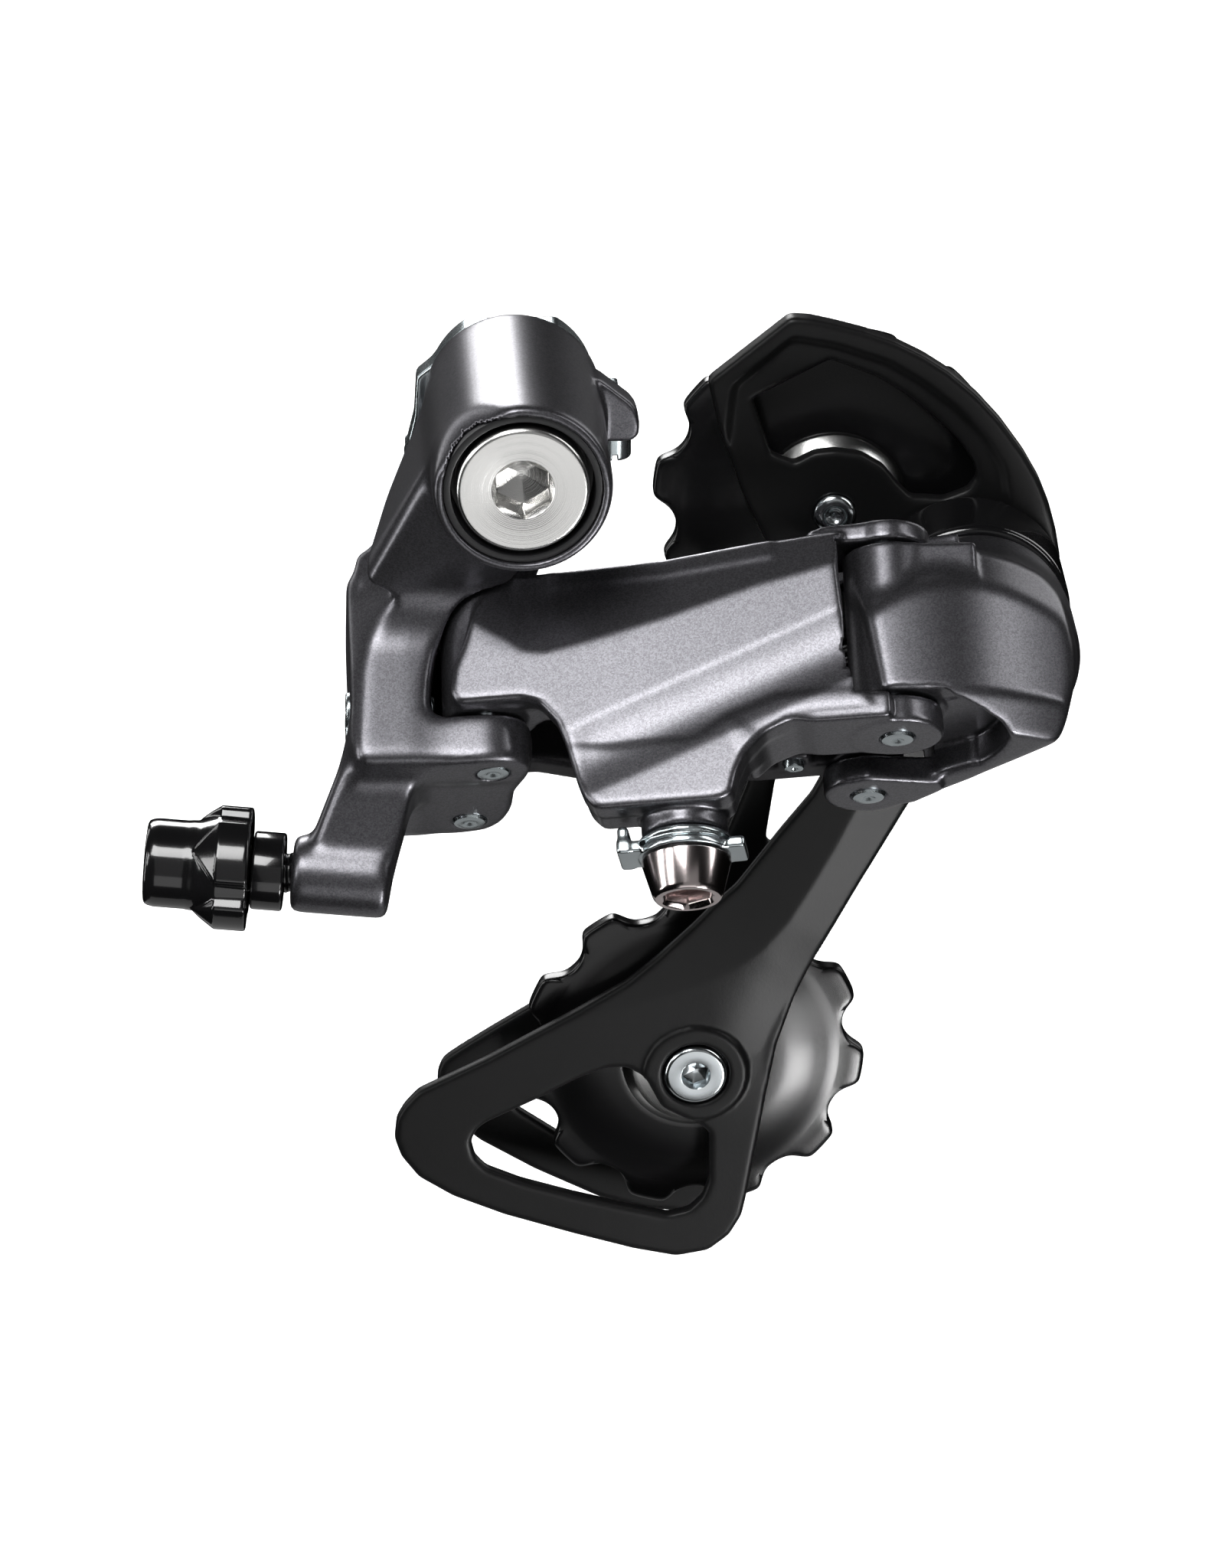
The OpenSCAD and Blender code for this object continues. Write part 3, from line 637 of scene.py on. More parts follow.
light("key_front", (-0.26, -0.60, 0.87), 0.50, 8.2, size_y=0.50)
light("key_left", (-0.80, -0.55, 0.42), 0.25, 2.0, size_y=0.5)
light("front_fill", (0.25, -1.45, 0.35), 1.3, 1.2)
light("low_front", (0.015, -0.46, -0.225), 0.34, 0.22, aim=(0.015, 0.0, -0.045), size_y=0.24)
light("low_right", (0.27, -0.42, -0.24), 0.16, 0.32, aim=(0.035, 0.0, -0.09), size_y=0.10)
light("low_facet", (0.17, -0.27, -0.28), 0.09, 0.55, aim=(0.04, 0.0, -0.07), size_y=0.07)
light("strip_right", (0.80, -0.20, 0.50), 0.16, 1.7, size_y=0.7)
light("strip_left", (-0.95, -0.20, 0.0), 0.16, 3.0, size_y=0.9)
light("back_mid", (-0.20, 1.05, 0.52), 0.50, 8.0, size_y=0.5)
light("back_left", (-0.85, 0.85, 0.30), 0.35, 2.0, size_y=0.9)
light("back_right", (0.85, 0.9, 0.30), 0.4, 1.8, size_y=0.9)
light("under", (0.02, 0.05, -0.285), 0.30, 0.09, aim=(0.02, -0.01, -0.03))

w = bpy.data.worlds.new("world")
sc.world = w
w.use_nodes = True
w.node_tree.nodes["Background"].inputs["Color"].default_value = (1.0, 1.0, 1.0, 1)
w.node_tree.nodes["Background"].inputs["Strength"].default_value = 1.0
w.cycles_visibility.glossy = False
w.cycles_visibility.diffuse = False

# pale floor, well below the hanging part, curving up behind it
me = bpy.data.meshes.new("floor")
prof = [(-2.4, -0.30)] + [(1.2 + 0.6 * math.sin(t * math.pi / 24), 0.30 - 0.6 * math.cos(t * math.pi / 24)) for t in range(13)] + [(1.8, 2.4)]
vv, ff = [], []
for y, z in prof:
    vv += [(-3.0, y, z), (3.0, y, z)]
for i in range(len(prof) - 1):
    ff.append((2 * i, 2 * i + 1, 2 * i + 3, 2 * i + 2))
me.from_pydata(vv, [], ff)
me.polygons.foreach_set("use_smooth", [True] * len(ff))
floor = bpy.data.objects.new("floor", me)
sc.collection.objects.link(floor)
fm = bpy.data.materials.new("floor_pale")
fm.use_nodes = True
fb = fm.node_tree.nodes["Principled BSDF"]
fb.inputs["Base Color"].default_value = (0.93, 0.93, 0.93, 1)
fb.inputs["Roughness"].default_value = 0.9
fb.inputs["Emission Color"].default_value = (1, 1, 1, 1)
fb.inputs["Emission Strength"].default_value = 0.75
fb.inputs["Specular IOR Level"].default_value = 0.0
me.materials.append(fm)
floor.visible_glossy = False
floor.visible_diffuse = False

# ================================================================ cast and forged bodies


def step(x):
    x = np.clip(x, 0, 1)
    return x * x * (3 - 2 * x)


def field_for(node, M, h, pad=1.5):
    """a block round a CAD node, in the frame M"""
    lo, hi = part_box(node)
    P = np.array([[a, b, c] for a in (lo[0], hi[0]) for b in (lo[1], hi[1]) for c in (lo[2], hi[2])]) * 1000
    if not np.allclose(M, WORLD):
        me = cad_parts[node].data
        P = np.empty(len(me.vertices) * 3, np.float32)
        me.vertices.foreach_get("co", P)
        P = P.reshape(-1, 3) * 1000.0
    q = (np.linalg.inv(M) @ np.c_[P, np.ones(len(P))].T)[:3].T
    return Field(M, q.min(0) - pad, q.max(0) + pad, h)


def bracket():
    F = field_for("bracket_body", WORLD, 0.30)
    Y = YTURN()
    F.add(F.cyl(Y, 10.30, -32.0, -3.4, k=0.25))
    # shoulder and arm run into each other in a wide hollow; the outer side stays flat
    F.add(F.hull(tube_pts(YTURN(-0.35, 0.05), 9.45, -25, -6.2, n=56) + box_pts(SLANT, (-19.6, 3.0, -27.3), (8.0, 16.4, 2.6))), 1.0)
    F.add(F.hull(tube_pts(Y, 8.3, -17, -6.5) + box_pts(SLANT, (-13.6, 4.3, -22.4), (15, 8.4, 2.1))), 2.0)
    arm = F.prism(SLANT, [(-19.9, -22.5), (-20.1, -44.5), (-19, -46.6), (-11.3, -46.6), (-11.4, -22.5)], 2.6, 25.1, "y", soft=0.6, k=1.8)
    lface = [(-19.9, -22.5), (-20.1, -44.4), (-19.0, -46.55), (-5.0, -46.55), (-1.6, -46.0), (0.2, -44.8), (0.6, -42.8), (0.0, -41.3), (-1.2, -40.95), (-10.0, -40.95), (-10.75, -40.3), (-10.4, -36), (-9.7, -32.6), (-8.3, -29.4), (-6.6, -27.2), (-5, -26), (-4.8, -22.9), (-4.9, -22.4)]
    front = F.prism(SLANT, lface, 2.45, 9.0, "y", soft=0.5, k=0.7)
    front = smax(front, F.prism(SLANT, [(-22, 2.45), (-5, 2.45), (-1.8, 3.0), (0.2, 4.6), (1.0, 7), (0.8, 9.4), (-22, 9.4)], -60, -10, soft=0.6, k=0), 0.6)
    x, m, n = F.loc(SLANT)
    K = 0.6 + 5.2 * step((-19.0 - n) / 6.0) * step((m + 4.5) / 5.0)
    G = smin(arm, front, 0.4)
    h = np.maximum(K - np.abs(F.f - G), 0) / K
    F.f = (np.minimum(F.f, G) - h * h * K * 0.25).astype(np.float32)
    F.keep((-19.9 - x) + 0 * m + 0 * n, 0.5)
    xc = np.interp(n.ravel(), [-60, -45, -34.5, -23.2, -10], [-20.2, -19.4, -18.3, -15.9, -13.0]).reshape(n.shape)
    F.keep((xc - x) * 0.64 - (m - 2.5) * 0.77 - 16.0 * step((0.5 - m) / 3.0), 0.6)
    F.add(F.prism(SLANT, [(-18.6, 5.0), (-12.6, 4.8), (-9.9, 4.2), (-7.2, 3.0), (-4, 2.2), (-1.8, 2.7), (0.3, 4.4), (1.0, 7), (0.4, 10), (-0.8, 14), (-1, 19.5), (-1.9, 23), (-3.6, 25.4), (-7.2, 26.4), (-18.4, 26.5)], -46.55, -40.95, soft=0.7, k=0.7), 1.6)
    F.add(F.prism(SLANT, [(-18.8, 3.9), (0.5, 4.1), (1.6, 7), (0.6, 10.6), (-1.2, 14), (-1.2, 22), (-3, 25.4), (-6, 26.4), (-18.2, 26.5)], -23.5, -19.2, soft=0.7, k=0.7), 1.2)
    F.add(F.hull(tube_pts(ADJ, 3.2, -11.0, -1.6) + box_pts(SLANT, (-19.7, 5.2, -44.3), (8.0, 7.6, 2.6))), 2.2)
    F.add(F.cyl(ADJ, 4.5, -11.3, 0.0, k=0.35), 0.9)
    F.blur(0.55)
    lug = F.prism(WORLD, [(6, -2.9), (13.4, -2.9), (14.3, -2.2), (14.4, -0.6), (14, 1.0), (13.3, 2.0), (9.7, 5.0), (6, 5.0)], -12, -8.2, "y", soft=0.25, k=0.5)
    F.add(lug, 0.8)
    F.add(F.prism(WORLD, [(6.1, -3.3), (13.2, -3.3), (14.2, -2.4), (14.2, -1.4), (6.1, -1.4)], -8.3, -4.5, "y", soft=0.2, k=0.4), 0.6)
    F.blur(0.18)
    # machined faces and bores, cut after the soft rounding
    F.cut(F.cyl(Y, 12.5, -45, -32.0, k=0), 0.15)
    F.cut(F.cyl(Y, 9.15, -40, -26.6, k=0), 0.2)
    F.cut(F.cyl(Y, 6.5, -27, -20, k=0))
    F.cut(F.cyl(Y, 8.2, -22, -2, k=0))
    for c in (BO, BI):
        F.cut(F.cyl(SLANT, 2.0, -60, -10, c, k=0), 0.15)
    F.cut(F.cyl(SLANT, 6.4, -40.9, -23.6, BO, k=0), 0.4)
    F.cut(F.cyl(SLANT, 4.9, -40.93, -23.57, BI, k=0), 0.3)
    for mm in (10, 16):
        S = SLANT @ move(0, mm, -37) @ rot("y", 90)
        F.cut(F.cyl(S, 1.55, -30, 0, k=0))
        F.cut(F.cyl(S, 2.4, -30, -18.1, k=0), 0.2)
    F.cut(F.cyl(ADJ, 1.4, -13, 3, k=0))
    F.cut(F.cyl(ADJ, 2.5, -9.5, 2.5, k=0), 0.2)
    F.cut(F.cyl(move(11.7, -6.3, 0), 1.55, -6, -1, k=0))
    return put_field("bracket_casting", F, PAINT, "bracket", ["bracket_body"])


LINK_WALL = [(10.2, -23.9), (21.3, -23.8), (32.2, -22.8), (39.6, -22.3), (42.4, -22.2), (41.6, -26.8), (42.0, -32.4), (43.0, -38.0), (43.6, -42.6), (44.6, -44.9), (38, -44.9), (35.2, -45.3), (32.2, -47), (29.9, -49.1), (28.7, -51.6), (28.0, -54.3), (26.5, -54.8), (12.5, -54.8), (11.2, -53.2), (10.5, -51.1), (9.1, -46), (8.3, -43.6), (6.4, -41.2), (4.3, -40.5), (-3.0, -40.5), (-3.9, -39.1), (-3.4, -35.9), (-2.2, -33.1), (-0.7, -28.4), (1, -26), (4, -24.2)]
CREASE1 = [(48.0, -25.9), (41.5, -26.8), (32.0, -28.8), (21.0, -32.0), (12.7, -33.9), (7.3, -35.0), (4.8, -34.6), (3.3, -33.2), (0.6, -31.5), (-4.5, -28.4)]
CREASE2 = [(50.0, -29.2), (41.8, -32.4), (8.5, -45.3), (0, -48.6)]


def above(u, w, line, soft=0.0):
    """signed height of points above a line u -> w"""
    L = sorted(line)
    lu = np.array([p[0] for p in L])
    lw = np.array([p[1] for p in L])
    return w - np.interp(u, lu, lw)


def outer_link():
    F = field_for("outer_link", OUTER, 0.27)
    u, v, w = F.loc(OUTER)
    uu = F.ax[0][:, None]
    ww = F.ax[2][None, :]
    a1 = above(uu, ww, CREASE1)
    a2 = above(uu, ww, CREASE2)
    uu, ww = np.broadcast_arrays(uu, ww)
    # front surface: middle facet flat, upper facet falls back, lower facet dips then swells
    front = np.full(uu.shape, -7.15)
    up = np.clip(a1, 0, None)
    front = front + up * math.tan(math.radians(15.5))
    low = np.clip(-a2 * math.cos(math.radians(21.2)), 0, None)
    front = front + 0.62 * np.sin(np.clip(low / 8.6, 0, 1) * math.pi) * np.clip((uu - 4) / 8, 0, 1) * np.clip((50 - uu) / 6, 0, 1)
    front = gauss(front.astype(np.float32), 0.22 / F.h, (0, 1))
    d2 = Table(LINK_WALL, 0.35)(uu, ww)
    front3 = front[:, None, :]
    slab = np.maximum(front3 - v, v + 3.7)
    F.add(smax(np.broadcast_to(d2[:, None, :], F.f.shape), slab, 0.8))
    F.add(F.cyl(OUTER, 5.6, -40.5, -24.0, k=0.5), 0.6)
    F.add(F.box(OUTER, (0.3, -4.9, -40.4), (7.8, 6, 16.2), k=0.6), 0.8)
    F.add(smax(F.prism(OUTER, [(9.8, -47), (10.6, -51.1), (11.3, -53.2), (12.6, -54.7), (26.5, -54.7), (27.9, -54.2), (28.6, -51.6), (29.8, -49.1), (31, -47.6), (28, -45.2), (24, -47.5), (14, -47.5)], -7.1, 0.8, "y", soft=0.4, k=0.7), front3 - v, 0.5), 0.8)
    F.add(smax(F.prism(OUTER, [(28, -45.1), (29.8, -49.0), (32.2, -46.9), (35.2, -45.8), (38, -46.3), (46.9, -46.35), (46.9, -43.05), (34, -43)], -7.1, 4.2, "y", soft=0.4, k=0.6), front3 - v, 0.5), 0.8)
    F.add(F.cyl(OUTER, 5.4, -46.4, -43.0, (LEN, 0), k=0.5), 0.4)
    F.add(F.cyl(CLAMP, 5.0, -57.0, -50.6, k=0.4), 0.5)
    F.add(smax(F.prism(OUTER, [(8, -24.1), (21.3, -24.0), (34, -22.9), (34, -25), (21.3, -26), (8, -26)], -7.1, 2.5, "y", soft=0.3, k=0.5), front3 - v, 0.5), 0.8)
    F.add(F.prism(OUTER, [(36.4, -24.2), (38.3, -21.5), (40.2, -20.95), (46.9, -20.95), (46.9, -23.35), (38.6, -23.4), (37.6, -24.6)], -4.6, 4.6, "y", soft=0.15, k=0.35), 0.4)
    F.add(F.cyl(OUTER, 5.0, -23.4, -20.9, (LEN, 0), k=0.35), 0.2)
    F.blur(0.20)
    F.cut(F.cyl(OUTER, 2.05, -60, 0, k=0), 0.15)
    F.cut(F.cyl(OUTER, 2.0, -60, 0, (LEN, 0), k=0), 0.15)
    F.cut(F.cyl(CLAMP, 2.5, -60, -46, k=0), 0.15)
    F.cut(F.cyl(OUTER, 8.15, -43, -23.4, (LEN, 0), k=0), 0.25)
    return put_field("outer_link_forging", F, LINKP, "outer_link", ["outer_link"])


def plate_body():
    F = field_for("plate_body", WORLD, 0.28)
    Y = YTURN(PX, PZ)
    # one rounded block: face, spring room and lower lip drawn together
    face = [(38.6, -28.6), (40.2, -26.0), (42.4, -24.8), (46.6, -24.9), (51.5, -26.2), (56.4, -28.0), (60, -30.4), (62, -33.6), (62.8, -38.5), (62.6, -44.0), (61.6, -46.4), (47.0, -46.4), (40.6, -43.4)]
    F.add(F.hull(tube_pts(Y, 11.0, -19.5, -8, n=56) + prism_pts(SLANT, face, -6.9, 2.0, "y") + prism_pts(SLANT, [(47, 0), (55, -4.5), (61.6, -3), (59.9, 2.4), (56.5, 7.4), (52, 12.4), (47.4, 17.2)], -46.6, -43.6)), 1.0)
    x, m, n = F.loc(SLANT)
    # the face turns away to the right, and at the top
    bow = np.clip(x - 45.0, -8, 40) ** 2 / 58.0 - 6.65 - m
    F.keep(bow * 0.85 + 0 * n, 0.8)
    F.keep(((x - 47.0) ** 2 / 60.0 + (n + 23.8) * 0.9 - (m + 7.8) * 0.25) * 0.7, 1.2)
    F.blur(0.6)
    # band leaning back above the face, and a bevel under it
    F.keep((bow + (n + 29.7 + 0.024 * (x - 52.0) ** 2) * 0.5) * 0.78, 0.5)
    F.keep((bow + (-42.9 - n) * 0.95) * 0.7, 0.3)
    F.blur(0.25)
    F.add(F.cyl(Y, 11.1, -19, -6.5, k=1.2), 1.5)
    F.add(F.cyl(Y, 9.2, -7, 2.7, k=0.3), 0.3)
    F.blur(0.2)
    # hollow round the link's lower ear, leaving a lip outside it
    F.cut(smax(F.cyl(SLANT, 12.9, -52, -42.85, PO, k=0), F.prism(SLANT, [(30, -20), (43.5, -20), (45.5, -8.2), (48.6, -5.9), (52, -3.9), (55.4, -1.5), (57.4, 0.8), (58, 8.5), (50, 11), (46, 12.0), (30, 12.0)], -52, -40, soft=0, k=0), 1.6), 0.9)
    F.add(F.cyl(SLANT, 5.2, -42.6, -23.8, PO, k=0.4), 0.5)
    F.add(F.box(SLANT, (PO[0], -5, -42.6), (10, 14, 18.8), k=0.5), 0.6)
    F.add(F.prism(SLANT, [(48.5, 11.2), (49, 13.5), (46, 17.4)] + arc(PI, 5.2, 40, 230, 14) + [(40, 9.4), (44.0, 10.2)], -47.4, -44.1, soft=0.3, k=0.6), 1.2)
    F.add(F.prism(SLANT, [(52, 4), (50, 14)] + arc(PI, 5.2, 45, 230, 14) + [(42, 8)], -22.4, -18.5, soft=0.3, k=0.6), 0.8)
    F.add(F.prism(SLANT, [(47.5, 11.4), (52, 8), (54, 9), (52, 12), (46.4, 17.6)], -46.3, -18.4, soft=0.3, k=0.6), 0.8)
    F.blur(0.14)
    F.add(F.box(move(PX, 0, PZ) @ rot("y", 114), (9, -7, -1.4), (5.6, 9.8, 2.8), k=0.3), 0.3)
    F.cut(smax(F.cyl(Y, 13, -6.4, 8, k=0), -F.cyl(Y, 9.2, -9, 9, k=0), 0.1), 0.15)
    F.cut(F.cyl(Y, 8.0, -15, 5, k=0))
    F.cut(F.cyl(Y, 4.05, -20.5, 0, k=0))
    F.cut(F.cyl(SLANT, 2.05, -60, -10, PO, k=0), 0.15)
    F.cut(F.cyl(SLANT, 2.0, -60, -10, PI, k=0), 0.15)
    sw = smin(F.prism(SLANT, sector(PO, 70, 150, 300.5, 40), -52, -12, soft=0, k=0), F.cyl(SLANT, 5.0, -52, -42.8, PO, k=0), 0)
    sw = smax(sw, -F.cyl(SLANT, 7.75, -70, 0, PO, k=0), 0.3)
    F.cut(sw, 0.5)
    low = smin(F.prism(SLANT, sector(PO, 60, 150, 300, 40), -50, -42.65, soft=0, k=0.2), F.prism(SLANT, sector(PO, 7.9, 150, 336, 40), -50, -42.65, soft=0, k=0.2), 0)
    F.cut(smin(F.cyl(SLANT, 5.8, -50, -42.65, PO, k=0.2), low, 0.2), 0.3)
    F.cut(smin(F.cyl(SLANT, 5.6, -23.7, -3.7, PO, k=0.2), F.prism(SLANT, sector(PO, 60, 165, 300, 40), -23.7, -3.7, soft=0, k=0.2), 0.2), 0.3)
    F.cut(F.cyl(SLANT, 4.9, -44.1, -22.4, PI, k=0), 0.2)
    F.cut(F.cyl(SLANT, 8.4, -44.1, -37.3, PI, k=0), 0.2)
    F.cut(F.prism(SLANT, sector(PI, 40, 165, 243, 30), -44.1, -22.4, soft=0, k=0), 0.2)
    return put_field("plate_body_casting", F, LINKP, "plate_knuckle", ["plate_body"])


def inner_link():
    F = field_for("inner_link", INNER, 0.30)
    F.add(F.prism(INNER, [(0, -40.4), (8, -40.4), (14, -42), (34, -43.8), (LEN, -43.8), (LEN, -22.8), (34, -22.8), (10, -24.1), (0, -24.1)], -2.2, 2.2, "y", soft=0.4, k=0.8))
    F.add(F.cyl(INNER, 4.4, -40.4, -24.1, k=0.4), 1.0)
    F.add(F.cyl(INNER, 4.4, -43.8, -22.8, (LEN, 0), k=0.4), 1.0)
    F.add(F.box(INNER, (36.6, -4.8, -43.8), (4, 4, 5.6), k=0.5), 0.6)
    # stiffening web pressed into the plate
    F.cut(F.prism(INNER, [(10, -38), (34, -40), (37, -36), (37, -28), (34, -26), (12, -28)], 1.5, 6, "y", soft=0.8, k=0.5), 0.5)
    F.blur(0.25)
    F.cut(F.cyl(INNER, 2.05, -60, 0, k=0), 0.1)
    F.cut(F.cyl(INNER, 2.3, -60, 0, (LEN, 0), k=0), 0.1)
    F.cut(F.cyl(INNER, 4.9, -36.4, -28.4, (LEN, 0), k=0), 0.1)
    F.cut(F.cyl(INNER, 1.2, -47, -39, (38.6, -3.0), k=0), 0.1)
    return put_field("inner_link_plate", F, DARKP, "inner_link", ["inner_link"])


bracket()
outer_link()
plate_body()
inner_link()

# ================================================================ cage plates
OUTLINE = [(32.9, 5.9), (35.2, 5.7), (38, 5.0), (41.7, 3.9), (45.5, 2.4), (48.8, 0.6), (51.8, -1.5), (55.1, -4.5), (58, -7.9), (60.8, -12), (62.7, -15.5), (64, -18.9), (64.9, -22.3), (65.5, -25.8), (65.6, -29.5), (65.1, -33.2), (63.6, -37.3), (61, -41.2), (56.6, -46), (52.2, -52), (48.5, -58), (42.3, -69.2), (37.2, -78.9), (34.4, -84.9), (32.3, -91), (31.1, -97.1), (30.3, -101.8), (28.7, -111.4), (28.1, -114.3), (26.6, -117), (24, -119.1), (20, -119.8), (14.7, -118.6), (7.1, -116.2), (-1.3, -113.3), (-7.6, -110.5), (-11.8, -107.7), (-13.9, -104.8), (-14.7, -102.3), (-14.4, -99.5), (-13.4, -97.7), (-11.7, -95.8), (-8.9, -94.4), (-3.3, -91.6), (3, -88), (8.1, -85.1), (13.9, -81.5), (17.6, -78.3), (21.8, -74.2), (24.3, -71.5), (27.1, -68.8), (32.4, -61.5), (36.1, -56.7), (39.5, -50), (40.5, -44), (38.5, -38), (34.5, -31), (31, -24.5), (27.6, -17), (24.6, -8), (23.3, -2)]
HOOD_INNER = [(24, -30), (27, -3), (33.4, 2.6), (38.2, 1.6), (44.2, -0.6), (48.2, -3.2), (52.2, -6.6), (55.6, -10.4), (57.6, -14), (58.6, -20), (58.2, -30)]
HOOD_WINDOW = [(28.6, -4.6), (30.9, -11.7), (33.6, -12.9), (36, -11.6), (38.5, -11.4), (41.5, -11.9), (44.2, -13.6), (45.9, -15.9), (47.5, -17.6), (51.5, -17.9), (54.3, -16.8), (55.3, -15.3), (54.9, -13.4), (53.2, -10.7), (50.3, -7.6), (46.8, -4.5), (43.3, -2.2), (37.7, 0.2)]
GUARD_WINDOW = [(-5.3, -102.9), (-4.6, -101.3), (-3.4, -100.3), (3, -97.2), (8, -94.5), (11.4, -93.2), (13.9, -93.2), (16.2, -94.7), (18.1, -98.6), (22.5, -101.1), (24, -102.5), (24, -109.3), (23.2, -111.6), (21.6, -113.3), (19, -113.9), (13.9, -112.6), (7.2, -110.7), (0.8, -108.6), (-3.4, -106.7), (-4.8, -105.1)]
INNER_OUTLINE = [(31, -13.5), (33.5, -11), (38.4, -9.8), (43.4, -11.2), (47, -15), (48.2, -20), (47.4, -27), (46.6, -36), (45.8, -48), (43.6, -60), (39.4, -72), (35, -83), (32, -94), (30, -106), (28, -113), (25.6, -117.4), (21.5, -119.6), (16.5, -119), (11, -117.2), (3, -113), (-4, -108.6), (-7.6, -105), (-9, -101.6), (-9, -99), (-8.3, -97.2), (-6.2, -95.7), (-2.4, -93.2), (2.7, -90), (9, -86), (16, -80.4), (21.6, -74.6), (26, -68), (29, -60), (30.6, -50), (31, -40), (30.4, -30), (29.6, -20)]
INNER_LOW = [(0.4, -104), (1, -101.6), (4, -98.4), (8.4, -95.6), (12, -94.8), (13.6, -97.6), (17, -101.4), (21, -103.4), (21.8, -107), (20.6, -112.2), (16.5, -113.2), (9, -110.2)]
INNER_HIGH = [(36, -34), (40.5, -33.4), (42, -37), (40.8, -50), (38.2, -60), (34.6, -69), (31.4, -68.4), (32.6, -60), (35, -50), (35.2, -40)]
FACET_LEFT = [(-9, -94.6), (-1.1, -89.4), (10.2, -85.6), (22.3, -82.2), (27, -79.9), (30.1, -77.7), (33.5, -73.7), (36.2, -69.1), (39, -63.9), (42.2, -57.2), (45.6, -51), (47, -42), (30, -38), (10, -60), (-20, -85)]


def disc2(x, z, c, r):
    return np.hypot(x - c[0], z - c[1]) - r


def outer_plate():
    F = field_for("outer_cage_plate", WORLD, 0.26, pad=1.0)
    x, y, z = F.loc()
    X, Z = np.broadcast_arrays(x[:, 0, :], z[:, 0, :])
    d = Table(OUTLINE, 0.35, pad=6)(X, Z)
    # front face: rim of the hood stands proud, facets fall away from the crease
    hood = Table(HOOD_INNER, 0.5, pad=30)(X, Z)
    front = np.full(X.shape, Y0)
    front -= 0.6 * step(hood / 1.3) * step((Z + 27) / 9)
    left = Table(FACET_LEFT, 0.5, pad=30)(X, Z)
    front += np.clip(-left, 0, 8) * 0.085 * step((-40 - Z) / 10)
    right = np.clip(left, 0, 12) * step((X - 24) / 12)
    front += np.clip(right * 0.20, 0, 1.4) * step((Z + 104) / 26) * step((-37 - Z) / 12)
    boss = disc2(X, Z, (TX, TZ), 6.4)
    front = np.where(boss < 0, Y0 - 0.5, front + 0) * step(-boss / 0.25 + 0.5) + front * (1 - step(-boss / 0.25 + 0.5))
    front = gauss(front.astype(np.float32), 0.15 / F.h, (0, 1))
    slab = smax(front[:, None, :] - y, y - Y1, 0)
    win = [Table(HOOD_WINDOW, 0.3, pad=6)(X, Z), Table(GUARD_WINDOW, 0.35, pad=6)(X, Z)]
    out = smax(d, -np.minimum(win[0], win[1]), 0.2)
    F.add(smax(out[:, None, :], slab, 0.75))
    F.blur(0.10)
    Yg, Yt, Yp = YTURN(GX, GZ), YTURN(TX, TZ), YTURN(PX, PZ)
    F.cut(F.cyl(Yg, 2.52, 0, 9, k=0), 0.15)
    F.cut(F.cyl(Yt, 2.52, 0, 9, k=0), 0.1)
    F.cut(F.cyl(Yt, 4.15, 0, Y0 + 0.8, k=0), 0.2)
    F.cut(F.cyl(Yp, 3.2, 0, 9, k=0), 0.1)
    a = math.radians(-100)
    F.cut(F.cyl(YTURN(PX + 13.8 * math.cos(a), PZ + 13.8 * math.sin(a)), 1.5, 0, 9, k=0), 0.1)
    return put_field("cage_plate_outer", F, CAGE, "cage", ["outer_cage_plate"])


def inner_plate():
    F = field_for("inner_cage_plate", WORLD, 0.30, pad=1.0)
    x, y, z = F.loc()
    X, Z = np.broadcast_arrays(x[:, 0, :], z[:, 0, :])
    d = Table(INNER_OUTLINE, 0.5, pad=6)(X, Z)
    wins = np.minimum(Table(INNER_LOW, 0.6, pad=6)(X, Z), Table(INNER_HIGH, 0.6, pad=6)(X, Z))
    out = smax(d, -wins, 0.2)
    # pressed rib: the middle of the plate is a little thinner than its edge
    thin = 0.35 * step((-out - 2.2) / 1.4)
    keep = np.minimum(disc2(X, Z, (GX, GZ), 6.0), disc2(X, Z, (TX, TZ), 6.0))
    thin = thin * step(keep / 1.2)
    slab = np.maximum(Y2 + 0 * y - y, y - (Y3 - thin[:, None, :]))
    F.add(smax(out[:, None, :], slab, 0.7))
    F.blur(0.10)
    F.cut(F.cyl(YTURN(GX, GZ), 2.52, 10, 20, k=0), 0.1)
    F.cut(F.cyl(YTURN(TX, TZ), 2.52, 10, 20, k=0), 0.1)
    return put_field("cage_plate_inner", F, CAGE, "cage", ["inner_cage_plate"])


outer_plate()
inner_plate()

# ================================================================ pulleys


def tooth_ring(n_per=56):
    n = 11 * n_per
    t = 2 * np.pi * np.arange(n) / n
    a = (t + math.pi / 11) % (2 * math.pi / 11) - math.pi / 11
    q = np.maximum(3.86 ** 2 - (22.55 * np.sin(a)) ** 2, 0)
    r = np.where(np.abs(22.55 * np.sin(a)) < 3.86, 22.55 * np.cos(a) - np.sqrt(q), 30)
    r = np.minimum(r, 21.2)
    w = np.exp(-0.5 * (np.arange(-6, 7) / 2.2) ** 2)
    w /= w.sum()
    r = sum(c * np.roll(r, k) for k, c in zip(range(-6, 7), w))
    return t, r


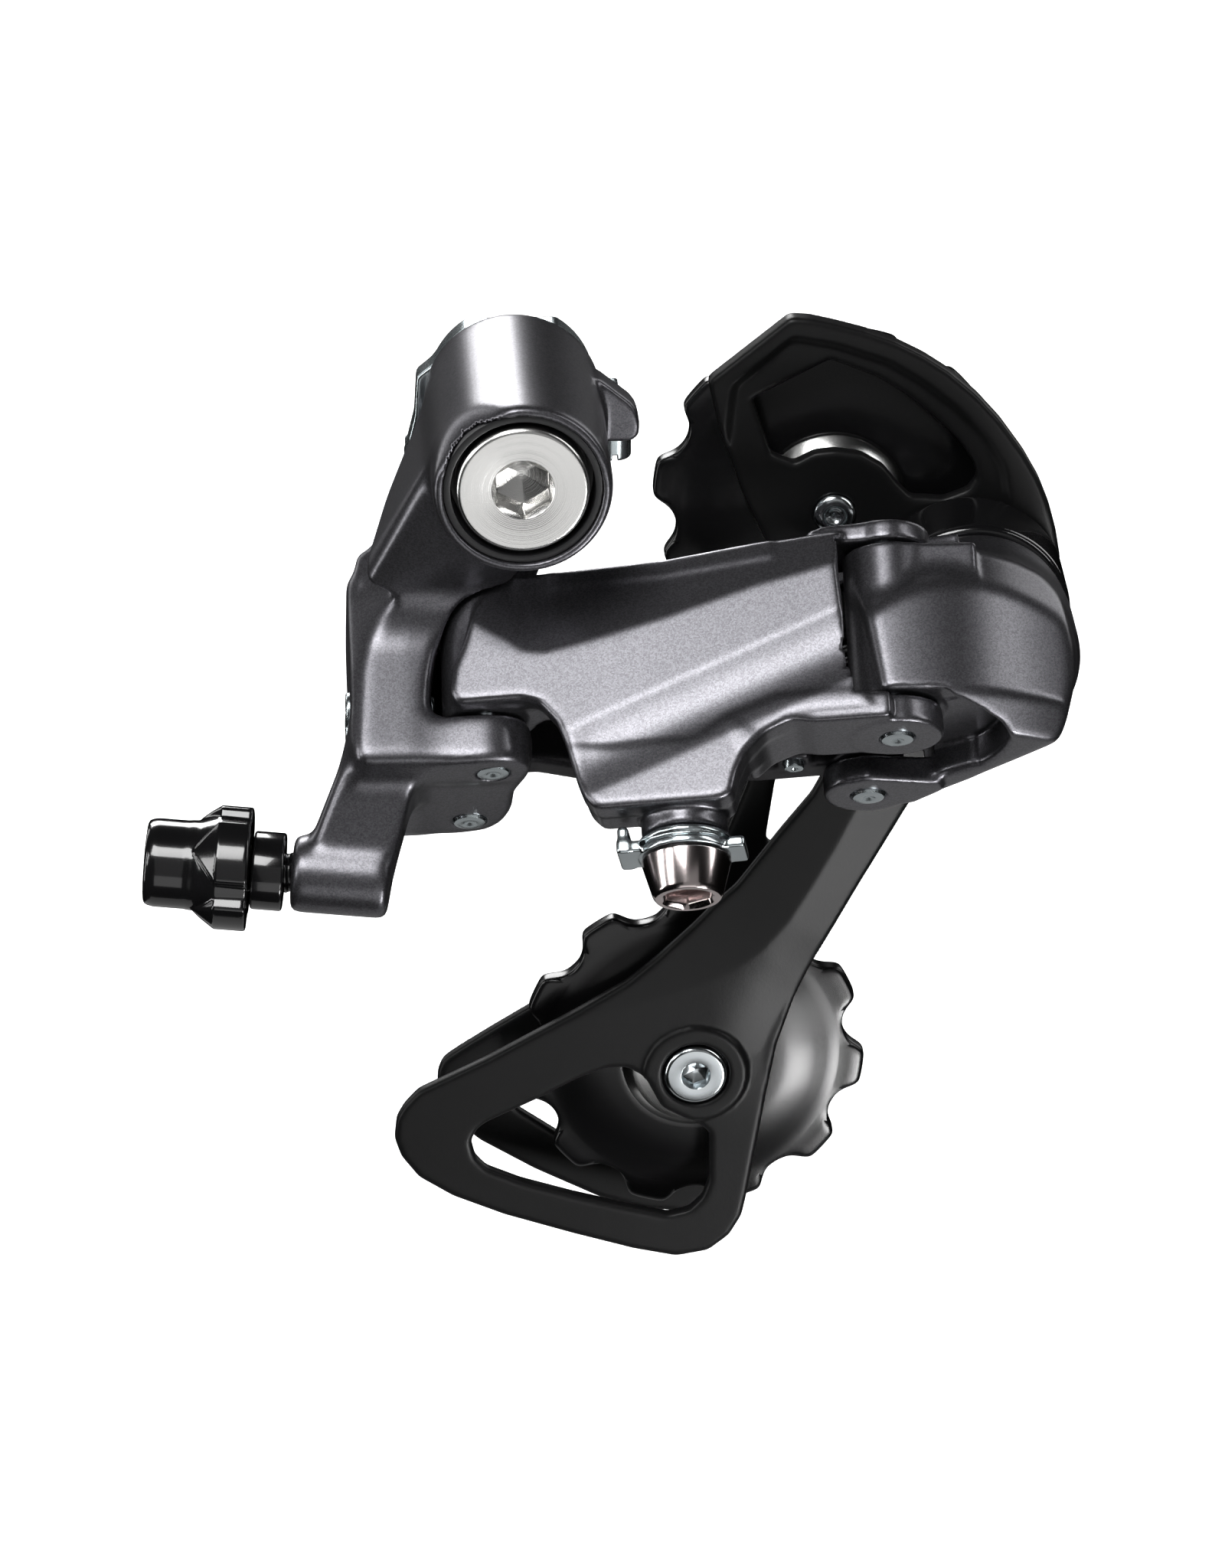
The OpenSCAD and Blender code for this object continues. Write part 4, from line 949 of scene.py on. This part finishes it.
def pulley(name, x, z, turn, body, node):
    t, out = tooth_ring()
    M = move(x, YM, z) @ rot("x", -90) @ rot("z", turn)

    def loop(r, h):
        r = np.broadcast_to(np.asarray(r, float), t.shape)
        return np.stack([r * np.cos(t), r * np.sin(t), np.full(len(t), h)], 1)
    side = [(3.95, 2.5), (4.15, 2.5), (6.2, 2.5), (6.5, 2.5), (8.9, 2.86), (9.25, 2.9), (9.6, 2.88), (11, 2.80), (12.4, 2.62), (13.8, 2.34), (15.2, 1.98), (16.4, 1.62), (17.3, 1.38), (17.9, 1.27), (18.15, 1.24)]
    up = [loop(r, h) for r, h in side]
    flank = np.maximum(out - 18.2, 0)
    up += [loop(18.2 + flank * 0.35, 1.2), loop(18.22 + flank * 0.72, 1.12), loop(np.maximum(out - 0.42, 18.25), 1.05), loop(np.maximum(out - 0.16, 18.3), 0.93), loop(np.maximum(out - 0.04, 18.33), 0.78), loop(np.maximum(out, 18.35), 0.58)]
    down = [np.c_[l[:, :2], -l[:, 2]] for l in up[::-1]]
    b = Bag()
    loops = up + down
    b.loft(loops + [loops[0]], M, (False, False))
    return b.done(name, RESIN, body, [node], sharp=42)


pulley("pulley_guide", GX, GZ, 7.0, "guide_wheel", "guide_pulley")
pulley("pulley_tension", TX, TZ, -9.1, "tension_wheel", "tension_pulley")

# dust caps, one pressed cup on each side of each pulley
b = Bag()
for x, z in ((GX, GZ), (TX, TZ)):
    for sgn, y in ((1, Y1), (-1, Y2)):
        prof = [(2.52, 0), (2.7, -0.0), (7.0, 0.0), (7.6, 0.15), (8.68, 1.2), (8.75, 1.3), (8.75, 1.55), (8.6, 1.6), (7.4, 0.5), (2.6, 0.5), (2.52, 0.45)]
        prof = [(r, y + sgn * h) for r, h in prof]
        b.ring(prof, YTURN(x, z), 128)
b.done("dust_caps_pressed", CAPS, "cage", ["dust_caps"], sharp=28)

b = Bag()
for x, z in ((GX, GZ), (TX, TZ)):
    b.ring(rounded([(2.52, Y1 + 0.5), (3.9, Y1 + 0.5), (3.9, Y2 - 0.5), (2.52, Y2 - 0.5), (2.52, Y1 + 0.6)], 0.15), YTURN(x, z), 64)
b.done("bushes_turned", BUSHM, "cage", ["pulley_bushes"])

# ================================================================ turned parts and fasteners


def thread_loops(r, z0, z1, pitch, depth, n=96, lead=0.0):
    """rings whose radius follows a screw thread"""
    t = 2 * np.pi * np.arange(n) / n
    zs = np.linspace(z0, z1, max(6, int((z1 - z0) / (pitch / 7))))
    out = []
    for zz in zs:
        ph = (zz / pitch - t / (2 * np.pi)) % 1.0
        tri = np.abs(ph * 2 - 1)
        rr = r - depth * np.clip((tri - 0.12) / 0.76, 0, 1)
        fade = min(1.0, (zz - z0) / (pitch * 0.7) if lead else 1.0, max((z1 - zz) / (pitch * 0.9), 0) + 0.25)
        rr = np.minimum(rr, r - depth * (1 - fade))
        out.append(np.stack([rr * np.cos(t), rr * np.sin(t), np.full(n, zz)], 1))
    return out


def hex_socket(r_cham, z_face, af, depth, z_dir, n=96, turn=0.0, cone=0.8):
    """loops from the rim of a socket's chamfer to its bottom; z_dir points into the metal"""
    hx = ngon(af, n, turn)
    hin = ngon(af - 0.04, n, turn)
    L = [ring_pts(r_cham, z_face, n)]
    L.append(at(hx * 1.035, z_face + z_dir * 0.42))
    L.append(at(hx, z_face + z_dir * 0.62))
    L.append(at(hin, z_face + z_dir * depth))
    L.append(at(hin * 0.92, z_face + z_dir * (depth + 0.08)))
    L.append(at(hin * 0.35, z_face + z_dir * (depth + cone * 0.8)))
    L.append(at(hin * 0.04, z_face + z_dir * (depth + cone)))
    return L


# mounting bolt: flat head with a slightly dished face, socket, shank, relief, thread
b = Bag()
head = rounded([(7.62, -27.4), (7.65, -31.42), (7.22, -31.8), (3.62, -31.46)], 0.22, 3)
loops = thread_loops(4.97, 0.12, 8.3, 1.0, 0.55)[::-1]
tip = [ring_pts(r, z) for r, z in [(0.05, 9.0), (3.9, 9.0), (4.15, 8.9), (4.45, 8.45)]]
mid = [ring_pts(r, z) for r, z in rounded([(4.42, 0.1), (4.4, -0.85), (5.0, -0.95), (5.0, -27.4), (7.4, -27.4)], 0.12, 2)]
loops = tip + loops + mid + [ring_pts(r, z) for r, z in head] + hex_socket(3.6, -31.44, 6.0, 3.9, 1, cone=0.9, turn=math.radians(-2))
b.loft(loops, YTURN())
b.done("mounting_bolt_turned", TURNED, "hanger_side", ["mounting_bolt"], sharp=30)

b = Bag()
b.ring(rounded([(5.06, -27.2), (8.25, -27.2), (8.25, -31.38), (9.08, -31.38), (9.08, -26.65), (6.45, -26.65), (6.45, -22.4), (5.06, -22.4), (5.06, -27.1)], 0.14, 2), YTURN(), 96)
b.done("bracket_bush_ring", PLASTIC, "bracket", ["bracket_bush"])


def dome_pin(b, M, r, z0, z1, bulge=0.25, dimple=0.75):
    """a riveted pin: rounded rims, a small centre dimple at both ends"""
    s = [(0.03, z0 + 0.35), (dimple * 0.5, z0 + 0.22), (dimple, z0 + 0.05), (dimple + 0.2, z0), (r * 0.72, z0 + 0.03), (r * 0.9, z0 + bulge * 0.5), (r, z0 + bulge * 1.6)]
    e = [(p, z0 + z1 - q) for p, q in s[::-1]]
    b.lathe(s + e, M, 48)


b = Bag()
dome_pin(b, SLANT @ move(BO[0], BO[1], 0), 2.0, -46.9, -19.0)
dome_pin(b, SLANT @ move(BI[0], BI[1], 0), 2.0, -46.9, -19.0)
b.done("bracket_pins_riveted", ZINC, "bracket", ["bracket_pins"])
b = Bag()
dome_pin(b, SLANT @ move(PO[0], PO[1], 0), 2.0, -46.8, -20.5)
b.done("outer_link_pin_riveted", ZINC, "outer_link", ["outer_link_pin"])
b = Bag()
dome_pin(b, SLANT @ move(PI[0], PI[1], 0), 2.0, -47.8, -18.2)
b.done("plate_body_pin_riveted", ZINC, "plate_knuckle", ["plate_body_pin"])
b = Bag()
dome_pin(b, INNER @ move(38.6, -3.0, 0), 1.2, -44.6, -39.2, bulge=0.18, dimple=0.4)
b.done("anchor_pin_riveted", ZINC, "inner_link", ["anchor_pin"])
b = Bag()
a = math.radians(-100)
dome_pin(b, YTURN(PX + 13.8 * math.cos(a), PZ + 13.8 * math.sin(a)), 1.5, -1.2, Y1 + 0.3, bulge=0.2, dimple=0.5)
b.done("cage_stop_pin_riveted", ZINC, "cage", ["cage_stop_pin"])
b = Bag()
b.lathe(rounded([(0.02, -20.2), (3.6, -20.2), (4, -19.8), (4, 0.9), (7.5, 0.9), (7.5, Y0), (3.2, Y0), (3.2, Y1 + 0.4), (2.8, Y1 + 0.7), (0.02, Y1 + 0.7)], 0.18, 2), YTURN(PX, PZ), 96)
b.done("cage_axle_turned", ZINC, "cage", ["p_axle"])

# guide pulley bolt: threaded end shows at the front, socket head behind
b = Bag()
front = [ring_pts(r, z) for r, z in [(0.04, 3.42), (0.45, 3.38), (0.8, 3.16), (0.95, 3.02), (1.15, 2.92), (1.5, 2.93), (1.95, 3.03), (2.28, 3.22), (2.45, 3.42), (2.5, 3.6)]]
body = [ring_pts(r, z) for r, z in rounded([(2.5, 3.6), (2.5, Y3), (4.2, Y3), (4.2, Y3 + 1.5), (3.8, Y3 + 1.9), (1.95, Y3 + 1.9)], 0.15, 2)[1:]]
b.loft(front + body + hex_socket(1.85, Y3 + 1.86, 3.0, 1.5, -1, cone=0.5), YTURN(GX, GZ))
b.done("guide_bolt_zinc", PULLEY_SCREW, "cage", ["guide_bolt"], sharp=30)

# tension pulley bolt: low head with a socket at the front
b = Bag()
body = [ring_pts(r, z) for r, z in rounded([(2.1, Y3 + 1.1), (2.5, Y3 + 0.6), (2.5, Y0 + 0.8), (3.85, Y0 + 0.8), (3.85, Y0 - 0.42), (3.45, Y0 - 0.75), (1.9, Y0 - 0.75)], 0.2, 3)]
b.loft([ring_pts(0.04, Y3 + 1.1)] + body + hex_socket(1.82, Y0 - 0.74, 3.0, 1.3, 1, cone=0.5, turn=math.radians(9)), YTURN(TX, TZ))
b.done("tension_bolt_zinc", PULLEY_SCREW, "cage", ["tension_bolt"], sharp=30)

# cable clamp bolt: tapered head, hexagon socket
b = Bag()
sh = thread_loops(2.45, -57.4, -48.1, 0.8, 0.35, 72)[::-1]
body = [ring_pts(r, z, 72) for r, z in rounded([(2.45, -57.5), (2.45, -59.88), (5.22, -59.9), (4.06, -64.1), (3.72, -64.55), (3.2, -64.55)], 0.14, 3)]
b.loft([ring_pts(0.04, -47.95, 72), ring_pts(1.9, -47.95, 72)] + sh + body + hex_socket(3.15, -64.54, 5.0, 3.2, 1, 72, cone=0.5, turn=math.radians(6)), CLAMP)
b.done("clamp_bolt_chrome", CHROME, "clamp_screw", ["clamp_bolt"], sharp=30)


def small_screw(name, M, head_r, head_h, shank_r, length, pitch, cross, mat, body, node, h=0.11):
    """a little screw along local z from its head; cross recess or slot"""
    F = Field(M, (-head_r - 0.6, -head_r - 0.6, -0.6), (head_r + 0.6, head_r + 0.6, length + 0.6), h)
    F.add(F.cyl(M, head_r, 0, head_h, k=0.35))
    x, y, z = F.loc(M)
    q = np.hypot(x, y)
    ph = (z / pitch - np.arctan2(y, x) / (2 * np.pi)) % 1.0
    rr = shank_r - 0.22 * np.clip(np.abs(ph * 2 - 1), 0, 1)
    F.add(smax((q - rr) * 0.8, np.abs(z - length / 2) - length / 2, 0.2), 0.15)
    if cross:
        for s in ((3.0, 0.62), (0.62, 3.0)):
            d = [np.abs(x) - s[0] / 2, np.abs(y) - s[1] / 2, np.abs(z) - 1.0]
            F.cut(np.maximum(np.maximum(d[0] + z * 0.25, d[1] + z * 0.25), d[2]), 0.08)
    else:
        F.cut(np.maximum(np.maximum(np.abs(x) - 0.3, np.abs(y) - 3), np.abs(z) - 0.75), 0.05)
    return put_field(name, F, mat, body, [node])


small_screw("limit_screw_high_zinc", SLANT @ move(-20.3, 10, -37) @ rot("y", 90), 2.1, 1.9, 1.5, 10.3, 0.7, True, ZINC, "high_screw", "limit_screw_high")
small_screw("limit_screw_low_zinc", SLANT @ move(-20.3, 16, -37) @ rot("y", 90), 2.1, 1.9, 1.5, 10.3, 0.7, True, ZINC, "low_screw", "limit_screw_low")
small_screw("b_tension_screw_zinc", move(11.7, -6.3, -6.9), 2.0, 3.3, 1.45, 5.8, 0.7, False, ZINC, "b_screw", "b_tension_screw")

# ================================================================ plates, covers, springs


def stopper():
    F = field_for("stopper_plate", WORLD, 0.20, pad=0.8)
    Y = YTURN()
    ring = F.cyl(Y, 9.7, -3.0, 0, k=0.25)
    ring = smax(ring, F.prism(WORLD, [(-12, -12), (12, -12), (12, 5), (6, 8.2), (-6, 8.2), (-12, 5)], -3.1, 1, "y", soft=0.2, k=0.1), 0.2)
    F.add(ring)
    F.add(F.prism(WORLD, [(-6, -9.5), (-9, -12.4), (-12.4, -12.4), (-12.6, -8), (-11.4, -3), (-11.1, 2.0), (-8, 4.6)], -3.0, 0, "y", soft=0.3, k=0.25), 0.4)
    F.add(F.box(WORLD, (-12.4, -2.5, -12.4), (2.8, 6.5, 4.4), k=0.5), 0.5)
    F.add(F.prism(WORLD, [(6, -4.2), (12.2, -2.6), (12.3, 0.4), (6, 0.4)], -3.0, -0.5, "y", soft=0.2, k=0.25), 0.4)
    tab = smax(F.cyl(Y, 12.4, -7.9, -0.6, k=0), -F.cyl(Y, 11.0, -12, 2, k=0), 0.15)
    F.add(smax(tab, F.box(WORLD, (8, -9, -0.9), (6, 12, 1.3), k=0.1), 0.2), 0.3)
    F.cut(F.cyl(Y, 5.04, -6, 2, k=0), 0.15)
    return put_field("stopper_plate_zinc", F, ZINC, "hanger_side", ["stopper_plate"])


def clamp():
    F = field_for("clamp_plate", CLAMP, 0.15, pad=0.8)
    F.add(F.cyl(CLAMP, 5.4, -59.5, -57.3, k=0.35))
    F.add(F.box(CLAMP, (-7.6, -2.8, -59.2), (7.6, 5.6, 1.4), k=0.5), 0.4)
    F.add(F.box(CLAMP, (-7.6, -2.8, -59.2), (1.3, 5.6, 3.2), k=0.5), 0.6)
    F.add(F.box(CLAMP, (0, -2.6, -59.5), (7.0, 5.2, 1.4), k=0.45), 0.4)
    # the cable's groove and a press line round the washer
    F.cut(F.cyl(CLAMP @ move(0, 3.6, -57.3) @ rot("y", 90), 0.8, -20, 20, k=0), 0.2)
    x, y, z = F.loc(CLAMP)
    q = np.hypot(np.hypot(x, y) - 5.45, z + 58.3) - 0.3
    F.cut(q, 0.15)
    F.cut(F.cyl(CLAMP, 2.85, -64, -50, k=0), 0.15)
    return put_field("clamp_plate_zinc", F, ZINC, "clamp_slider", ["clamp_plate"])


def cover():
    F = field_for("spring_cover", WORLD, 0.25, pad=0.9)
    x, y, z = F.loc(YTURN(PX, PZ))
    q = np.hypot(x, y)
    ring = smax(q - 11.6, 9.25 - q, 0)
    F.add(smax(ring, np.abs(z + 1.55) - 4.75, 1.0))
    F.cut(F.cyl(SLANT, 5.0, -50, -10, PI, k=0), 0.3)
    return put_field("spring_cover_ring", F, GLOSS, "plate_knuckle", ["spring_cover"])


def coil(name, M, R, w, pitch, turns, mat, body, node):
    n = int(36 * turns)
    t = np.linspace(0, 2 * np.pi * turns, n)
    H = pitch * turns
    zc = w / 2 + (H - w) * (t / t[-1])
    b = Bag()
    loops = []
    k = 12
    a = 2 * np.pi * np.arange(k) / k
    for ti, z in zip(t, zc):
        er = np.array([math.cos(ti), math.sin(ti), 0])
        loops.append(er * R + np.array([0, 0, z]) + (w / 2) * (np.cos(a)[:, None] * er + np.sin(a)[:, None] * np.array([0, 0, 1.0])))
    b.loft(loops, M)
    return b.done(name, mat, body, [node], sharp=60)


coil("b_spring_wire", move(0, -21.4, 0) @ rot("x", -90), 6.7, 1.7, 3.2, 4.6, SPRING, "bracket", "b_axle_spring")
coil("p_spring_wire", move(PX, -14.6, PZ) @ rot("x", -90), 6.2, 1.6, 3.0, 4.4, SPRING, "plate_knuckle", "p_axle_spring")
coil("return_spring_wire", INNER @ move(LEN, 0, -35.9), 3.3, 0.9, 1.75, 4, SPRING, "inner_link", "return_spring")
stopper()
clamp()
cover()

# ================================================================ cable adjuster
b = Bag()
b.ring(rounded([(2.8, 0.9), (4.35, 0.9), (4.55, 1.1), (4.55, 4.4), (4.35, 4.6), (2.8, 4.6), (2.8, 1.0)], 0.12, 2), ADJ, 96)
b.done("adjuster_sleeve_ring", GLOSS, "adjuster_slider", ["adjuster_sleeve"])


def knob():
    F = Field(ADJ, (-8.4, -8.4, -9.2), (8.4, 8.4, 17.7), 0.20)
    x, y, z = F.loc(ADJ)
    X, Y = np.broadcast_arrays(x[:, :, 0], y[:, :, 0])
    Z = z[0, 0, :][None, None, :]
    q = np.hypot(X, Y)[:, :, None]
    # rear tube, with a soft end
    F.add(smax(q - (5.15 - 0.25 * step((Z - 15.6) / 1.6)), np.abs(Z - 10.95) - 6.05, 0.6))
    # hub under the wings
    hub = np.interp(Z.ravel(), [4.9, 8.7, 11.2, 12.2], [6.05, 6.15, 5.2, 5.1])[None, None, :]
    F.add(smax(q - hub, np.abs(Z - 8.5) - 3.6, 0.4), 0.3)
    # four wings, narrowing to a point where they run into the tube
    L = np.linalg.inv(ADJ)[:3, :3]
    face = L @ (np.array(B_) * math.cos(math.radians(18)) + np.array(U_) * math.sin(math.radians(18)))
    a0 = math.atan2(face[1], face[0])
    half = np.interp(Z.ravel(), [4.0, 8.6, 11.7], [3.75, 3.75, -0.2])[None, None, :]
    rad = np.interp(Z.ravel(), [4.0, 8.6, 11.9], [7.2, 7.2, 4.95])[None, None, :]
    for i in range(2):
        c, s = math.cos(a0 + i * math.pi / 2), math.sin(a0 + i * math.pi / 2)
        across = np.abs(-X * s + Y * c)[:, :, None]
        d = smax((across - half) * 0.8, (q - rad) * 0.85, 0.25)
        F.add(smax(d, np.maximum(4.9 - Z, Z - 12.2), 0.35), 0.12)
    # threaded stem inside the sleeve
    ph = (Z / 1.0 - np.arctan2(Y, X)[:, :, None] / (2 * np.pi)) % 1.0
    stem = q - (2.42 - 0.3 * np.abs(ph * 2 - 1))
    F.add(smax(stem * 0.8, np.maximum(-8.45 - Z, Z - 5.2), 0.2))
    F.cut(smax(q - 2.6, 8.9 - Z, 0), 0.25)
    F.cut(q - 1.2 + 0 * Z, 0.1)
    return put_field("adjuster_knob_body", F, GLOSS, "adjuster", ["adjuster_knob"])


knob()
